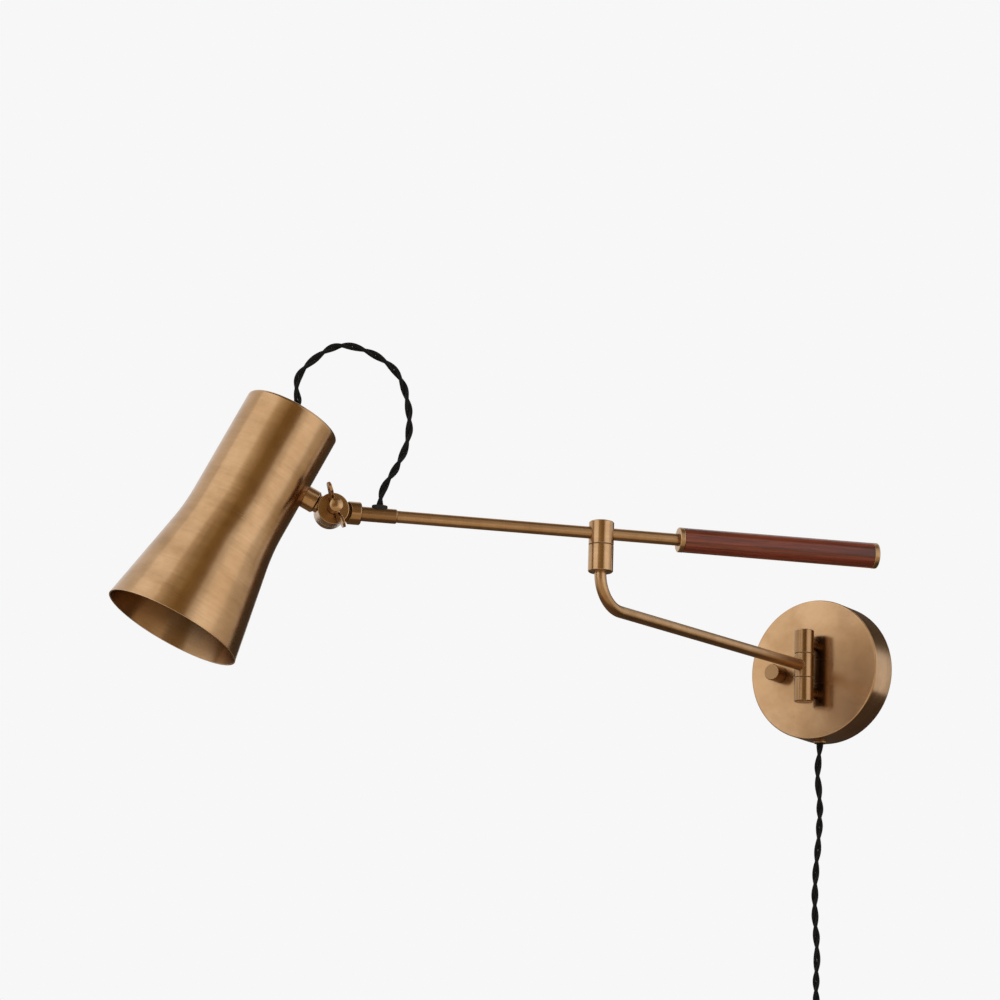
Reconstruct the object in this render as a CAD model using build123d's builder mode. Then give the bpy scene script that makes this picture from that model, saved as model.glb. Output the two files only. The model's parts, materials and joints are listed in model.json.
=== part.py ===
from build123d import *
import math
import os

os.makedirs("parts", exist_ok=True)

# Swing arm wall sconce, millimetres and degrees.
# Origin: centre of the wall plate's back, on the wall. The wall is the plane Y = 0 and the lamp
# stands out towards -Y, +Z up.

# ---------------------------------------------------------------- driving dimensions
# wall plate
plate_diameter = 120.0
plate_depth = 28.5
plate_wall = 1.6
plate_edge_radius = 0.9

# wall hinge
hinge_standoff = 16.5          # plate face to hinge axis
barrel_diameter = 16.4
barrel_height = 20.3           # each of the three knuckles
barrel_edge = 0.6
seam_edge = 0.35               # where one turning piece meets the next
pin_diameter = 8.0
pin_bore = 5.0
pin_screw_head_diameter = 10.4
pin_screw_head_height = 1.4
pin_screw_length = 9.0
barrel_roof = 3.4              # solid top of the upper knuckle
washer_thickness = 0.4
post_diameter = 8.6
post_stud_diameter = 6.0
post_bore = 3.6
post_stud_length = 5.2         # from the plate's face inwards
post_spigot = 3.0              # how far a post enters its knuckle

# bracket behind the plate
bracket_thickness = 2.0
bracket_width = 24.0
bracket_clearance = 0.25       # ear corners to the plate's inside
bracket_ear_width = 16.0
bracket_ear_length = 14.0
bracket_centre_hole = 10.0
wall_screw_spacing = 88.9
wall_slot_length = 12.0
wall_slot_width = 5.0
side_screw_depth = 8.0         # from the wall to the side screw's axis
side_screw_diameter = 4.0
side_screw_head_diameter = 7.0
side_screw_head_height = 2.2
side_screw_length = 8.0
catch_pin_length = 4.0

# rotary dimmer
knob_x = -33.0
knob_z = -2.0
knob_diameter = 14.0
knob_length = 13.6
knob_gap = 0.4
knob_edge = 0.5
knob_recess_depth = 2.9
dimmer_width = 25.0
dimmer_height = 21.0
dimmer_depth = 13.0
dimmer_bush_diameter = 7.6
dimmer_bush_length = 2.6       # in front of the plate
dimmer_nut_flats = 9.0
dimmer_nut_height = 2.0
dimmer_shaft_diameter = 5.9

# terminal block
terminal_x = 23.0
terminal_length = 24.0
terminal_width = 12.0
terminal_height = 11.0
terminal_pitch = 9.0
terminal_screw_diameter = 4.0

# lower arm
arm_heading = 5.4              # from straight out of the wall towards -X
arm_reach = 287.0              # hinge axis to elbow axis
tube_diameter = 9.5
tube_wall = 1.2
arm_bend_radius = 26.8
arm_tube_seat = 10.5           # how far the tube enters the elbow socket

# elbow
elbow_diameter = 19.8
elbow_edge = 0.8
socket_height = 21.4
collar_height = 18.8
pivot_journal_diameter = 7.5
pivot_head_diameter = 10.0
pivot_bore = 4.5
pivot_nut_diameter = 9.3
pivot_nut_height = 2.6
pivot_shoulder = 6.8           # length of the socket's running bore
collar_screw_diameter = 5.0
collar_screw_hex = 2.5

# rod
rod_heading = 44.0             # from straight out of the wall towards -X
rod_reach = 215.4              # elbow axis to tilt axis
rod_tail = 222.0               # elbow axis to the rod's end inside the handle
ferrule_start = 62.4           # from the elbow axis
ferrule_length = 4.2
handle_length = 156.6
handle_start_diameter = 19.5
handle_end_diameter = 20.3
cap_length = 4.2
cap_spigot_length = 9.0
sleeve_start = 163.9           # from the elbow axis towards the shade
sleeve_length = 28.6
sleeve_wall = 0.95
sleeve_chamfer = 1.0
grommet_place = 177.5
grommet_length = 12.4
grommet_width = 8.8
grommet_rise = 2.1             # above the top of the sleeve
grommet_stem_diameter = 7.6

# tilt knuckle
knuckle_diameter = 24.6
knuckle_front_thickness = 10.85
knuckle_rear_thickness = 11.4
knuckle_gap = 0.3
knuckle_rear_rounding = 3.0
knuckle_collar_diameter = 17.9
knuckle_collar_end = 12.4      # from the tilt axis to the collar's flat end
knuckle_scoop_gap = 2.8        # between the front disc and the collar
stub_scoop_gap = 0.9           # between the rear disc and the stub
knuckle_neck_diameter = 15.0
stub_diameter = 17.7
stub_start = 12.9              # from the tilt axis
stub_neck_diameter = 14.4
stub_chamfer = 1.2
wing_screw_diameter = 5.0
wing_tilt = 22.4               # of the wings from upright, towards the shade
wing_thickness = 2.2
wing_hub_diameter = 10.4
wing_hub_base_diameter = 9.2
wing_hub_height = 13.6
wing_hub_dome = 1.5            # rise of the hub's rounded end
wing_span = 37.4
friction_washer_diameter = 9.0
friction_washer_thickness = 1.0
wing_screw_depth = 8.0         # into the rear half

# shade
shade_tilt = 64.0              # of the shade's axis below level
shade_offset = 61.9            # tilt axis to shade axis
shade_above = 51.0             # shade top above the stub, along the shade's axis
shade_diameter = 77.3
shade_height = 193.0
shade_waist = 103.7            # top to where the flare starts
shade_mouth_diameter = 109.0
shade_wall = 1.0
shade_top_radius = 2.5
shade_waist_radius = 165.0
stub_screw_diameter = 4.0
stub_screw_head_diameter = 8.0
stub_screw_head_height = 2.4
stub_screw_length = 9.0

# lampholder, for an E26 lamp
nipple_diameter = 9.8
nipple_bore = 6.4
nipple_length = 20.0
nipple_rise = 2.0              # above the shade's top
nipple_nut_flats = 14.0
nipple_nut_height = 3.0
bush_base_diameter = 14.0
bush_top_diameter = 11.2
bush_height = 3.6
loop_rise = 10.0               # how far the loop cord leaves the shade's top before it turns
socket_cap_top = 9.0           # below the shade's top
socket_cap_height = 14.0
socket_cap_wall = 1.0
socket_diameter = 36.0
socket_body_height = 38.0
socket_floor = 14.0            # thickness of the insulating floor
screw_shell_radius = 13.1
screw_shell_wall = 0.4
screw_shell_length = 22.0
contact_plate = 0.5
contact_button = 0.5

# twisted cords
cord_diameter = 6.0
cord_length = 1800.0
gland_y = -15.0
gland_diameter = 11.0
gland_rise = 2.0
gland_neck_diameter = 8.0
gland_neck_length = 8.0
gland_nut_flats = 11.0
gland_nut_height = 2.5
grip_diameter = 9.6
grip_length = 5.0
coil_radius = 29.0
coil_turns = 8
coil_bundle_radius = 10.2
coil_height = -324.0           # of the coil's middle
tie_angle = 18.0               # of the coil that the tie covers
tie_thickness = 0.8
coil_entry_gap = 1.5           # cord ends inside the coil, above and below its middle
plug_width = 27.0
plug_thickness = 17.0
plug_body_height = 27.0
plug_relief_height = 20.0
blade_spacing = 12.7
blade_width = 6.3
blade_thickness = 1.5
blade_length = 17.0

# clearances, on the radius unless they say otherwise
running = 0.05                 # shafts that turn
seat = 0.05                    # pieces fixed in one another
cord_room = 0.06
coil_tie_room = 0.05

# ---------------------------------------------------------------- frames
up = Vector(0, 0, 1)
plate_radius = plate_diameter / 2
plate_inside = plate_radius - plate_wall
bracket_half_length = math.sqrt(plate_inside**2 - (bracket_ear_width / 2) ** 2) - bracket_clearance
plate_back_of_face = -(plate_depth - plate_wall)
hinge_y = -(plate_depth + hinge_standoff)
barrel_radius = barrel_diameter / 2
pin_radius = pin_diameter / 2
tube_radius = tube_diameter / 2
elbow_radius = elbow_diameter / 2

front = Plane(origin=(0, -plate_depth, 0), x_dir=(1, 0, 0), z_dir=(0, -1, 0))
hinge = Plane(origin=(0, hinge_y, 0), x_dir=(1, 0, 0), z_dir=(0, 0, 1))


def heading(angle):
    """Level direction at an angle from straight out of the wall towards -X."""
    return Vector(-math.sin(math.radians(angle)), -math.cos(math.radians(angle)), 0)


arm_out = heading(arm_heading)
arm_side = Plane(origin=hinge.origin, x_dir=arm_out, z_dir=arm_out.cross(up))
elbow = Plane(origin=hinge.origin + arm_out * arm_reach, x_dir=(1, 0, 0), z_dir=(0, 0, 1))

post_height = barrel_height + washer_thickness   # middles of the outer knuckles
socket_bottom = arm_bend_radius + 0.1
socket_top = socket_bottom + socket_height
collar_bottom = socket_top + washer_thickness
rod_height = collar_bottom + collar_height / 2

rod_back = heading(rod_heading) * -1
rod_side = Plane(origin=elbow.origin + up * rod_height, x_dir=rod_back, z_dir=rod_back.cross(up))
knuckle = Plane(origin=rod_side.from_local_coords((-rod_reach, 0, 0)), x_dir=rod_back, z_dir=rod_side.z_dir)
knuckle_axis = Axis(knuckle.origin, knuckle.z_dir)
rod_axis = Axis(rod_side.origin, rod_back)

tilt = math.radians(shade_tilt)
shade_up = rod_back * math.cos(tilt) + up * math.sin(tilt)
stub_out = rod_back * -math.sin(tilt) + up * math.cos(tilt)
stub = Plane(origin=knuckle.origin, x_dir=knuckle.z_dir, z_dir=stub_out)
shade_top = stub.origin + stub_out * shade_offset + shade_up * shade_above
shade_side = Plane(origin=shade_top, x_dir=stub_out, z_dir=stub_out.cross(shade_up))
shade_axis = Axis(shade_top, shade_up)
shade_radius = shade_diameter / 2


def rod_section(place):
    """Plane across the rod, at a distance from the elbow axis towards the handle."""
    return Plane(origin=rod_side.from_local_coords((place, 0, 0)), x_dir=rod_side.z_dir, z_dir=rod_back)


def shade_section(depth):
    """Plane across the shade's axis, at a depth below the shade's top."""
    return Plane(origin=shade_top - shade_up * depth, x_dir=stub_out, z_dir=shade_up)


def save(piece, label):
    piece.part.label = label
    export_step(piece.part, f"parts/{label}.step")


def round_piece(plane, outer, inner, length, chamfer_size=0.0):
    """A bush, ring or plain disc standing on a plane."""
    with BuildPart() as piece:
        with BuildSketch(plane):
            Circle(outer)
            if inner > 0:
                Circle(inner, mode=Mode.SUBTRACT)
        extrude(amount=length)
        if chamfer_size > 0:
            rims = piece.edges().filter_by(GeomType.CIRCLE).filter_by(lambda e: e.radius > outer - 0.01)
            chamfer(rims, chamfer_size)
    return piece


# ---------------------------------------------------------------- wall plate and bracket
with BuildPart() as wall_plate:
    with BuildSketch(Plane.XY):
        with BuildLine():
            Polyline(
                (0, -plate_depth),
                (plate_radius, -plate_depth),
                (plate_radius, 0),
                (plate_inside, 0),
                (plate_inside, plate_back_of_face),
                (0, plate_back_of_face),
                close=True,
            )
        make_face()
    revolve(axis=Axis.Y)
    face_rim = wall_plate.edges().filter_by(GeomType.CIRCLE).sort_by(Axis.Y)[0]
    fillet(face_rim, plate_edge_radius)
    with BuildSketch(front):
        with Locations((0, post_height), (0, -post_height)):
            Circle(post_stud_diameter / 2 + seat)
        with Locations((knob_x, knob_z)):
            Circle(dimmer_bush_diameter / 2 + seat)
    extrude(amount=-2 * plate_wall, mode=Mode.SUBTRACT)
    with BuildSketch(Plane(origin=(0, gland_y, -plate_radius), x_dir=(1, 0, 0), z_dir=(0, 0, -1))):
        Circle(gland_neck_diameter / 2 + seat)
    extrude(amount=2 * plate_wall, both=True, mode=Mode.SUBTRACT)
    with BuildSketch(Plane(origin=(-plate_radius, -side_screw_depth, 0), x_dir=(0, 1, 0), z_dir=(-1, 0, 0))):
        Circle(side_screw_diameter / 2 + seat)
    extrude(amount=2 * plate_wall, both=True, mode=Mode.SUBTRACT)
    # catch pin brazed inside the rim, opposite the side screw
    catch_foot = (plate_inside + plate_wall / 2, -side_screw_depth, 0)
    with BuildSketch(Plane(origin=catch_foot, x_dir=(0, 1, 0), z_dir=(-1, 0, 0))):
        Circle(side_screw_diameter / 2)
    extrude(amount=plate_wall / 2 + catch_pin_length)
save(wall_plate, "wall_plate")

with BuildPart() as wall_bracket:
    with BuildSketch(Plane.XZ):
        Rectangle(2 * bracket_half_length, bracket_ear_width)
        Rectangle(2 * bracket_half_length - 8, bracket_width)
        Circle(bracket_centre_hole / 2, mode=Mode.SUBTRACT)
        with Locations((wall_screw_spacing / 2, 0), (-wall_screw_spacing / 2, 0)):
            SlotOverall(wall_slot_length, wall_slot_width, mode=Mode.SUBTRACT)
    extrude(amount=bracket_thickness)
    for side in (-1, 1):
        ear = Plane(origin=(side * bracket_half_length, 0, 0), x_dir=(0, -side, 0), z_dir=(-side, 0, 0))
        with BuildSketch(ear):
            with Locations((side * bracket_ear_length / 2, 0)):
                Rectangle(bracket_ear_length, bracket_ear_width)
            with Locations((side * side_screw_depth, 0)):
                Circle(side_screw_diameter / 2 + seat, mode=Mode.SUBTRACT)
        extrude(amount=bracket_thickness)
save(wall_bracket, "wall_bracket")

side_screw = Plane(origin=(-plate_radius - 0.05, -side_screw_depth, 0), x_dir=(0, 1, 0), z_dir=(-1, 0, 0))
with BuildPart() as canopy_screw:
    with BuildSketch(side_screw):
        Circle(side_screw_head_diameter / 2)
    extrude(amount=side_screw_head_height)
    fillet(canopy_screw.edges().group_by(Axis.X)[0], 0.8)
    with BuildSketch(side_screw):
        Circle(side_screw_diameter / 2)
    extrude(amount=-side_screw_length)
    with BuildSketch(side_screw.offset(side_screw_head_height)):
        Rectangle(side_screw_head_diameter, 1.0)
    extrude(amount=-0.9, mode=Mode.SUBTRACT)
save(canopy_screw, "canopy_screw")

# ---------------------------------------------------------------- wall hinge
upper_bottom = barrel_height / 2 + washer_thickness
lower_top = -upper_bottom
barrel_top = upper_bottom + barrel_height


def edge_circles(piece, radius):
    return piece.edges().filter_by(GeomType.CIRCLE).filter_by(lambda e: abs(e.radius - radius) < 0.01)


def post_hole(height):
    """Plane at the hinge axis, looking back at the wall, where a post enters its knuckle."""
    return Plane(origin=(0, hinge_y, height), x_dir=(1, 0, 0), z_dir=(0, 1, 0))


with BuildPart() as upper_knuckle:
    with BuildSketch(hinge.offset(upper_bottom)):
        Circle(barrel_radius)
    extrude(amount=barrel_height)
    chamfer(edge_circles(upper_knuckle, barrel_radius).sort_by(Axis.Z)[-1], barrel_edge)
    chamfer(edge_circles(upper_knuckle, barrel_radius).sort_by(Axis.Z)[0], seam_edge)
    with BuildSketch(hinge.offset(upper_bottom)):
        Circle(pin_radius + seat)
    extrude(amount=barrel_height - barrel_roof, mode=Mode.SUBTRACT)
    with BuildSketch(post_hole(post_height)):
        Circle(post_stud_diameter / 2 + seat)
    extrude(amount=barrel_radius + 1, mode=Mode.SUBTRACT)
save(upper_knuckle, "upper_knuckle")

with BuildPart() as lower_knuckle:
    with BuildSketch(hinge.offset(-barrel_top)):
        Circle(barrel_radius)
        Circle(pin_radius + seat, mode=Mode.SUBTRACT)
    extrude(amount=barrel_height)
    with BuildSketch(hinge.offset(-barrel_top)):
        Circle(pin_screw_head_diameter / 2 + 0.1)
    extrude(amount=pin_screw_head_height, mode=Mode.SUBTRACT)
    chamfer(edge_circles(lower_knuckle, barrel_radius).sort_by(Axis.Z)[0], barrel_edge)
    chamfer(edge_circles(lower_knuckle, barrel_radius).sort_by(Axis.Z)[-1], seam_edge)
    with BuildSketch(post_hole(-post_height)):
        Circle(post_stud_diameter / 2 + seat)
    extrude(amount=barrel_radius + 1, mode=Mode.SUBTRACT)
save(lower_knuckle, "lower_knuckle")

pin_bottom = -barrel_top + pin_screw_head_height
pin_top = barrel_top - barrel_roof - 0.1
with BuildPart() as hinge_pin:
    with BuildSketch(hinge.offset(pin_bottom)):
        Circle(pin_radius)
        Circle(pin_bore / 2, mode=Mode.SUBTRACT)
    extrude(amount=pin_top - pin_bottom)
    # wire windows: towards the upper post, and towards the arm over its whole swing
    with BuildSketch(post_hole(post_height)):
        Circle(post_bore / 2)
    extrude(amount=pin_radius + 1, mode=Mode.SUBTRACT)
    with BuildSketch(hinge.offset(-2.2)):
        with Locations((0, -pin_radius)):
            Rectangle(pin_diameter + 1, pin_diameter - 0.6)
    extrude(amount=4.4, mode=Mode.SUBTRACT)
save(hinge_pin, "hinge_pin")

with BuildPart() as pin_screw:
    with BuildSketch(hinge.offset(-barrel_top)):
        Circle(pin_screw_head_diameter / 2)
    extrude(amount=pin_screw_head_height)
    with BuildSketch(hinge.offset(-barrel_top)):
        Circle(pin_bore / 2 - seat)
    extrude(amount=pin_screw_length)
    with BuildSketch(hinge.offset(-barrel_top)):
        Rectangle(pin_screw_head_diameter + 1, 1.1)
    extrude(amount=0.8, mode=Mode.SUBTRACT)
save(pin_screw, "pin_screw")

with BuildPart() as hinge_posts:
    for height in (post_height, -post_height):
        face = Plane(origin=(0, -plate_depth, height), x_dir=(1, 0, 0), z_dir=(0, -1, 0))
        with BuildSketch(face):
            Circle(post_diameter / 2)
        extrude(amount=hinge_standoff - 4)
    # the shoulders are hollowed to sit against the round knuckles
    with BuildSketch(hinge.offset(-barrel_top)):
        Circle(barrel_radius + 0.02)
    extrude(amount=2 * barrel_top, mode=Mode.SUBTRACT)
    for height in (post_height, -post_height):
        face = Plane(origin=(0, -plate_depth, height), x_dir=(1, 0, 0), z_dir=(0, -1, 0))
        with BuildSketch(face.offset(-post_stud_length)):
            Circle(post_stud_diameter / 2)
        extrude(amount=post_stud_length + hinge_standoff - barrel_radius + post_spigot)
        with BuildSketch(face.offset(-post_stud_length)):
            Circle(post_bore / 2)
        extrude(amount=post_stud_length + hinge_standoff, mode=Mode.SUBTRACT)
save(hinge_posts, "hinge_posts")

with BuildPart() as post_nuts:
    with BuildSketch(front.offset(-plate_wall)):
        with Locations((0, post_height), (0, -post_height)):
            RegularPolygon(5.8, 6)
            Circle(post_stud_diameter / 2 + seat, mode=Mode.SUBTRACT)
    extrude(amount=-2.4)
save(post_nuts, "post_nuts")

# ---------------------------------------------------------------- dimmer
knob_face = Plane(origin=(knob_x, -plate_depth, knob_z), x_dir=(1, 0, 0), z_dir=(0, -1, 0))
with BuildPart() as dimmer_body:
    with BuildSketch(knob_face.offset(-plate_wall)):
        RectangleRounded(dimmer_width, dimmer_height, 2)
    extrude(amount=-dimmer_depth)
    with BuildSketch(knob_face.offset(-plate_wall)):
        Circle(dimmer_bush_diameter / 2)
    extrude(amount=plate_wall + dimmer_bush_length)
    with BuildSketch(knob_face.offset(dimmer_bush_length)):
        Circle(dimmer_shaft_diameter / 2 + running)
    extrude(amount=-(dimmer_bush_length + plate_wall + 7), mode=Mode.SUBTRACT)
save(dimmer_body, "dimmer_body")

with BuildPart() as dimmer_nut:
    with BuildSketch(knob_face):
        RegularPolygon(dimmer_nut_flats / 2, 6, major_radius=False)
        Circle(dimmer_bush_diameter / 2 + seat, mode=Mode.SUBTRACT)
    extrude(amount=dimmer_nut_height)
save(dimmer_nut, "dimmer_nut")

dimmer_nut_corner = dimmer_nut_flats / math.sqrt(3)
with BuildPart() as dimmer_knob:
    with BuildSketch(knob_face.offset(knob_gap)):
        Circle(knob_diameter / 2)
    extrude(amount=knob_length)
    chamfer(edge_circles(dimmer_knob, knob_diameter / 2).sort_by(Axis.Y)[0], knob_edge)
    with BuildSketch(knob_face.offset(knob_gap)):
        Circle(dimmer_nut_corner + 0.2)
    extrude(amount=knob_recess_depth, mode=Mode.SUBTRACT)
    with BuildSketch(knob_face.offset(knob_gap)):
        Circle(dimmer_shaft_diameter / 2 + seat)
    extrude(amount=knob_length - 3, mode=Mode.SUBTRACT)
save(dimmer_knob, "dimmer_knob")

with BuildPart() as dimmer_shaft:
    with BuildSketch(knob_face.offset(-plate_wall - 6)):
        Circle(dimmer_shaft_diameter / 2)
    extrude(amount=plate_wall + 6 + knob_gap + knob_length - 3.2)
save(dimmer_shaft, "dimmer_shaft")

# ---------------------------------------------------------------- terminal block
block_face = Plane(origin=(terminal_x, -bracket_thickness, 0), x_dir=(1, 0, 0), z_dir=(0, -1, 0))
terminal_places = [(x * terminal_pitch / 2, y * 3) for x in (-1, 1) for y in (-1, 1)]
with BuildPart() as terminal_block:
    with BuildSketch(block_face):
        RectangleRounded(terminal_length, terminal_width, 1.5)
    extrude(amount=terminal_height)
    with BuildSketch(block_face.offset(terminal_height)):
        with Locations(*terminal_places):
            Circle(terminal_screw_diameter / 2 + seat)
    extrude(amount=-4, mode=Mode.SUBTRACT)
save(terminal_block, "terminal_block")

with BuildPart() as terminal_screws:
    with BuildSketch(block_face.offset(terminal_height - 4)):
        with Locations(*terminal_places):
            Circle(terminal_screw_diameter / 2)
    extrude(amount=3.2)
save(terminal_screws, "terminal_screws")

# ---------------------------------------------------------------- lower arm
with BuildPart() as arm_knuckle:
    with BuildSketch(hinge.offset(-barrel_height / 2)):
        Circle(barrel_radius)
        Circle(pin_radius + running, mode=Mode.SUBTRACT)
    extrude(amount=barrel_height)
    chamfer(edge_circles(arm_knuckle, barrel_radius), seam_edge)
    with BuildSketch(Plane(origin=hinge.origin, x_dir=(0, 0, 1), z_dir=arm_out)):
        Circle(tube_radius + seat)
    extrude(amount=barrel_radius + 1, mode=Mode.SUBTRACT)
save(arm_knuckle, "arm_knuckle")

with BuildPart() as hinge_washers:
    for height in (barrel_height / 2, lower_top):
        with BuildSketch(hinge.offset(height)):
            Circle(barrel_radius - seam_edge - 0.1)
            Circle(pin_radius + running, mode=Mode.SUBTRACT)
        extrude(amount=washer_thickness)
save(hinge_washers, "hinge_washers")

arm_tube_start = pin_radius + 1.2
arm_tube_top = socket_bottom + arm_tube_seat
with BuildPart() as lower_arm:
    with BuildLine(arm_side):
        FilletPolyline((pin_radius, 0), (arm_reach, 0), (arm_reach, arm_tube_top), radius=arm_bend_radius)
    with BuildSketch(Plane(origin=arm_side.from_local_coords((pin_radius, 0, 0)), x_dir=up, z_dir=arm_out)):
        Circle(tube_radius)
        Circle(tube_radius - tube_wall, mode=Mode.SUBTRACT)
    sweep()
    # saddle end, clear of the hinge pin
    with BuildSketch(hinge.offset(-barrel_height / 2)):
        Circle(arm_tube_start)
    extrude(amount=barrel_height, mode=Mode.SUBTRACT)
save(lower_arm, "lower_arm")

shoulder_height = socket_top - pivot_shoulder
with BuildPart() as elbow_socket:
    with BuildSketch(elbow.offset(socket_bottom)):
        Circle(elbow_radius)
    extrude(amount=socket_height)
    chamfer(edge_circles(elbow_socket, elbow_radius).sort_by(Axis.Z)[0], elbow_edge)
    chamfer(edge_circles(elbow_socket, elbow_radius).sort_by(Axis.Z)[-1], seam_edge)
    with BuildSketch(elbow.offset(socket_bottom)):
        Circle(tube_radius + seat)
    extrude(amount=shoulder_height - socket_bottom, mode=Mode.SUBTRACT)
    with BuildSketch(elbow.offset(socket_bottom)):
        Circle(pivot_journal_diameter / 2 + running)
    extrude(amount=socket_height, mode=Mode.SUBTRACT)
save(elbow_socket, "elbow_socket")

elbow_washer = round_piece(
    elbow.offset(socket_top), elbow_radius - 0.5, pivot_journal_diameter / 2 + running, washer_thickness
)
save(elbow_washer, "elbow_washer")

# ---------------------------------------------------------------- elbow collar and rod
pivot_head_height = collar_height / 2 - tube_radius - 0.3
with BuildPart() as elbow_collar:
    with BuildSketch(elbow.offset(collar_bottom)):
        Circle(elbow_radius)
    extrude(amount=collar_height)
    chamfer(edge_circles(elbow_collar, elbow_radius).sort_by(Axis.Z)[-1], elbow_edge)
    chamfer(edge_circles(elbow_collar, elbow_radius).sort_by(Axis.Z)[0], seam_edge)
    with BuildSketch(elbow.offset(collar_bottom)):
        Circle(pivot_head_diameter / 2 + seat)
    extrude(amount=collar_height / 2, mode=Mode.SUBTRACT)
    with BuildSketch(elbow.offset(collar_bottom)):
        Circle(collar_screw_diameter / 2 + seat)
    extrude(amount=collar_height, mode=Mode.SUBTRACT)
    with BuildSketch(rod_section(0)):
        Circle(tube_radius + seat)
    extrude(amount=elbow_radius + 1, both=True, mode=Mode.SUBTRACT)
save(elbow_collar, "elbow_collar")

collar_screw_bottom = rod_height + tube_radius + 0.05
collar_screw_height = collar_bottom + collar_height - collar_screw_bottom - 0.3
with BuildPart() as collar_screw:
    with BuildSketch(elbow.offset(collar_screw_bottom)):
        Circle(collar_screw_diameter / 2)
    extrude(amount=collar_screw_height)
    with BuildSketch(elbow.offset(collar_screw_bottom + collar_screw_height)):
        RegularPolygon(collar_screw_hex / 2, 6, major_radius=False)
    extrude(amount=-2.2, mode=Mode.SUBTRACT)
save(collar_screw, "collar_screw")

pivot_bottom = shoulder_height - 0.2 - pivot_nut_height
with BuildPart() as elbow_pivot:
    with BuildSketch(elbow.offset(pivot_bottom)):
        Circle(pivot_journal_diameter / 2)
    extrude(amount=collar_bottom - pivot_bottom)
    with BuildSketch(elbow.offset(collar_bottom)):
        Circle(pivot_head_diameter / 2)
    extrude(amount=pivot_head_height)
    with BuildSketch(elbow.offset(pivot_bottom)):
        Circle(pivot_bore / 2)
    extrude(amount=collar_bottom + pivot_head_height - pivot_bottom, mode=Mode.SUBTRACT)
save(elbow_pivot, "elbow_pivot")

pivot_nut = round_piece(
    elbow.offset(pivot_bottom), pivot_nut_diameter / 2, pivot_journal_diameter / 2 + seat, pivot_nut_height
)
save(pivot_nut, "pivot_nut")

rod_seat = 6.2                 # how far the rod enters the knuckle's collar
rod_end = sleeve_start + sleeve_length + rod_seat
with BuildPart() as rod:
    with BuildSketch(rod_section(-rod_end)):
        Circle(tube_radius)
        Circle(tube_radius - tube_wall, mode=Mode.SUBTRACT)
    extrude(amount=rod_end + rod_tail)
    # wire holes: over the elbow pivot, and under the grommet
    with BuildSketch(elbow.offset(collar_bottom)):
        Circle(pivot_bore / 2)
    extrude(amount=collar_height / 2, mode=Mode.SUBTRACT)
    grommet_plane = Plane(origin=rod_side.from_local_coords((-grommet_place, 0, 0)), x_dir=rod_back, z_dir=up)
    with BuildSketch(grommet_plane):
        Circle(grommet_stem_diameter / 2 + seat)
    extrude(amount=2 * tube_radius, mode=Mode.SUBTRACT)
save(rod, "rod")

handle_start = ferrule_start + ferrule_length
handle_finish = handle_start + handle_length
handle_ferrule = round_piece(
    rod_section(ferrule_start), handle_start_diameter / 2 + 0.1, tube_radius + seat, ferrule_length, 0.5
)
save(handle_ferrule, "handle_ferrule")

with BuildPart() as handle:
    with BuildSketch(rod_side):
        with BuildLine():
            Polyline(
                (handle_start, tube_radius + seat),
                (handle_start, handle_start_diameter / 2),
                (handle_finish, handle_end_diameter / 2),
                (handle_finish, tube_radius + seat),
                close=True,
            )
        make_face()
    revolve(axis=rod_axis)
save(handle, "handle")

with BuildPart() as handle_cap:
    cap_radius = handle_end_diameter / 2 + 0.1
    with BuildSketch(rod_section(handle_finish)):
        Circle(cap_radius)
    extrude(amount=cap_length)
    outer_rim = edge_circles(handle_cap, cap_radius).sort_by(rod_axis)[-1]
    fillet(outer_rim, 1.4)
    with BuildSketch(rod_section(handle_finish)):
        Circle(tube_radius - tube_wall - seat)
    extrude(amount=-(cap_spigot_length + handle_finish - rod_tail))
save(handle_cap, "handle_cap")

sleeve_radius = tube_radius + sleeve_wall
with BuildPart() as rod_sleeve:
    with BuildSketch(rod_section(-sleeve_start - sleeve_length)):
        Circle(sleeve_radius)
        Circle(tube_radius + seat, mode=Mode.SUBTRACT)
    extrude(amount=sleeve_length)
    chamfer(edge_circles(rod_sleeve, sleeve_radius).sort_by(rod_axis)[-1], sleeve_chamfer * 0.8)
    with BuildSketch(grommet_plane):
        Circle(grommet_stem_diameter / 2 + seat)
    extrude(amount=2 * sleeve_radius, mode=Mode.SUBTRACT)
save(rod_sleeve, "rod_sleeve")

cord_radius = cord_diameter / 2
grommet_top = sleeve_radius + grommet_rise
with BuildPart() as cord_grommet:
    with BuildSketch(grommet_plane):
        Ellipse(grommet_length / 2, grommet_width / 2)
    extrude(amount=grommet_top)
    fillet(cord_grommet.edges().sort_by(Axis.Z)[-1], 0.7)
    with BuildSketch(rod_section(-sleeve_start - sleeve_length)):
        Circle(sleeve_radius + 0.02)
    extrude(amount=sleeve_length, mode=Mode.SUBTRACT)
    with BuildSketch(grommet_plane.offset(tube_radius - tube_wall)):
        Circle(grommet_stem_diameter / 2)
    extrude(amount=grommet_top - tube_radius + tube_wall - 1)
    with BuildSketch(grommet_plane):
        Circle(cord_radius + cord_room)
    extrude(amount=grommet_top + 1, mode=Mode.SUBTRACT)
save(cord_grommet, "cord_grommet")

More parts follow.
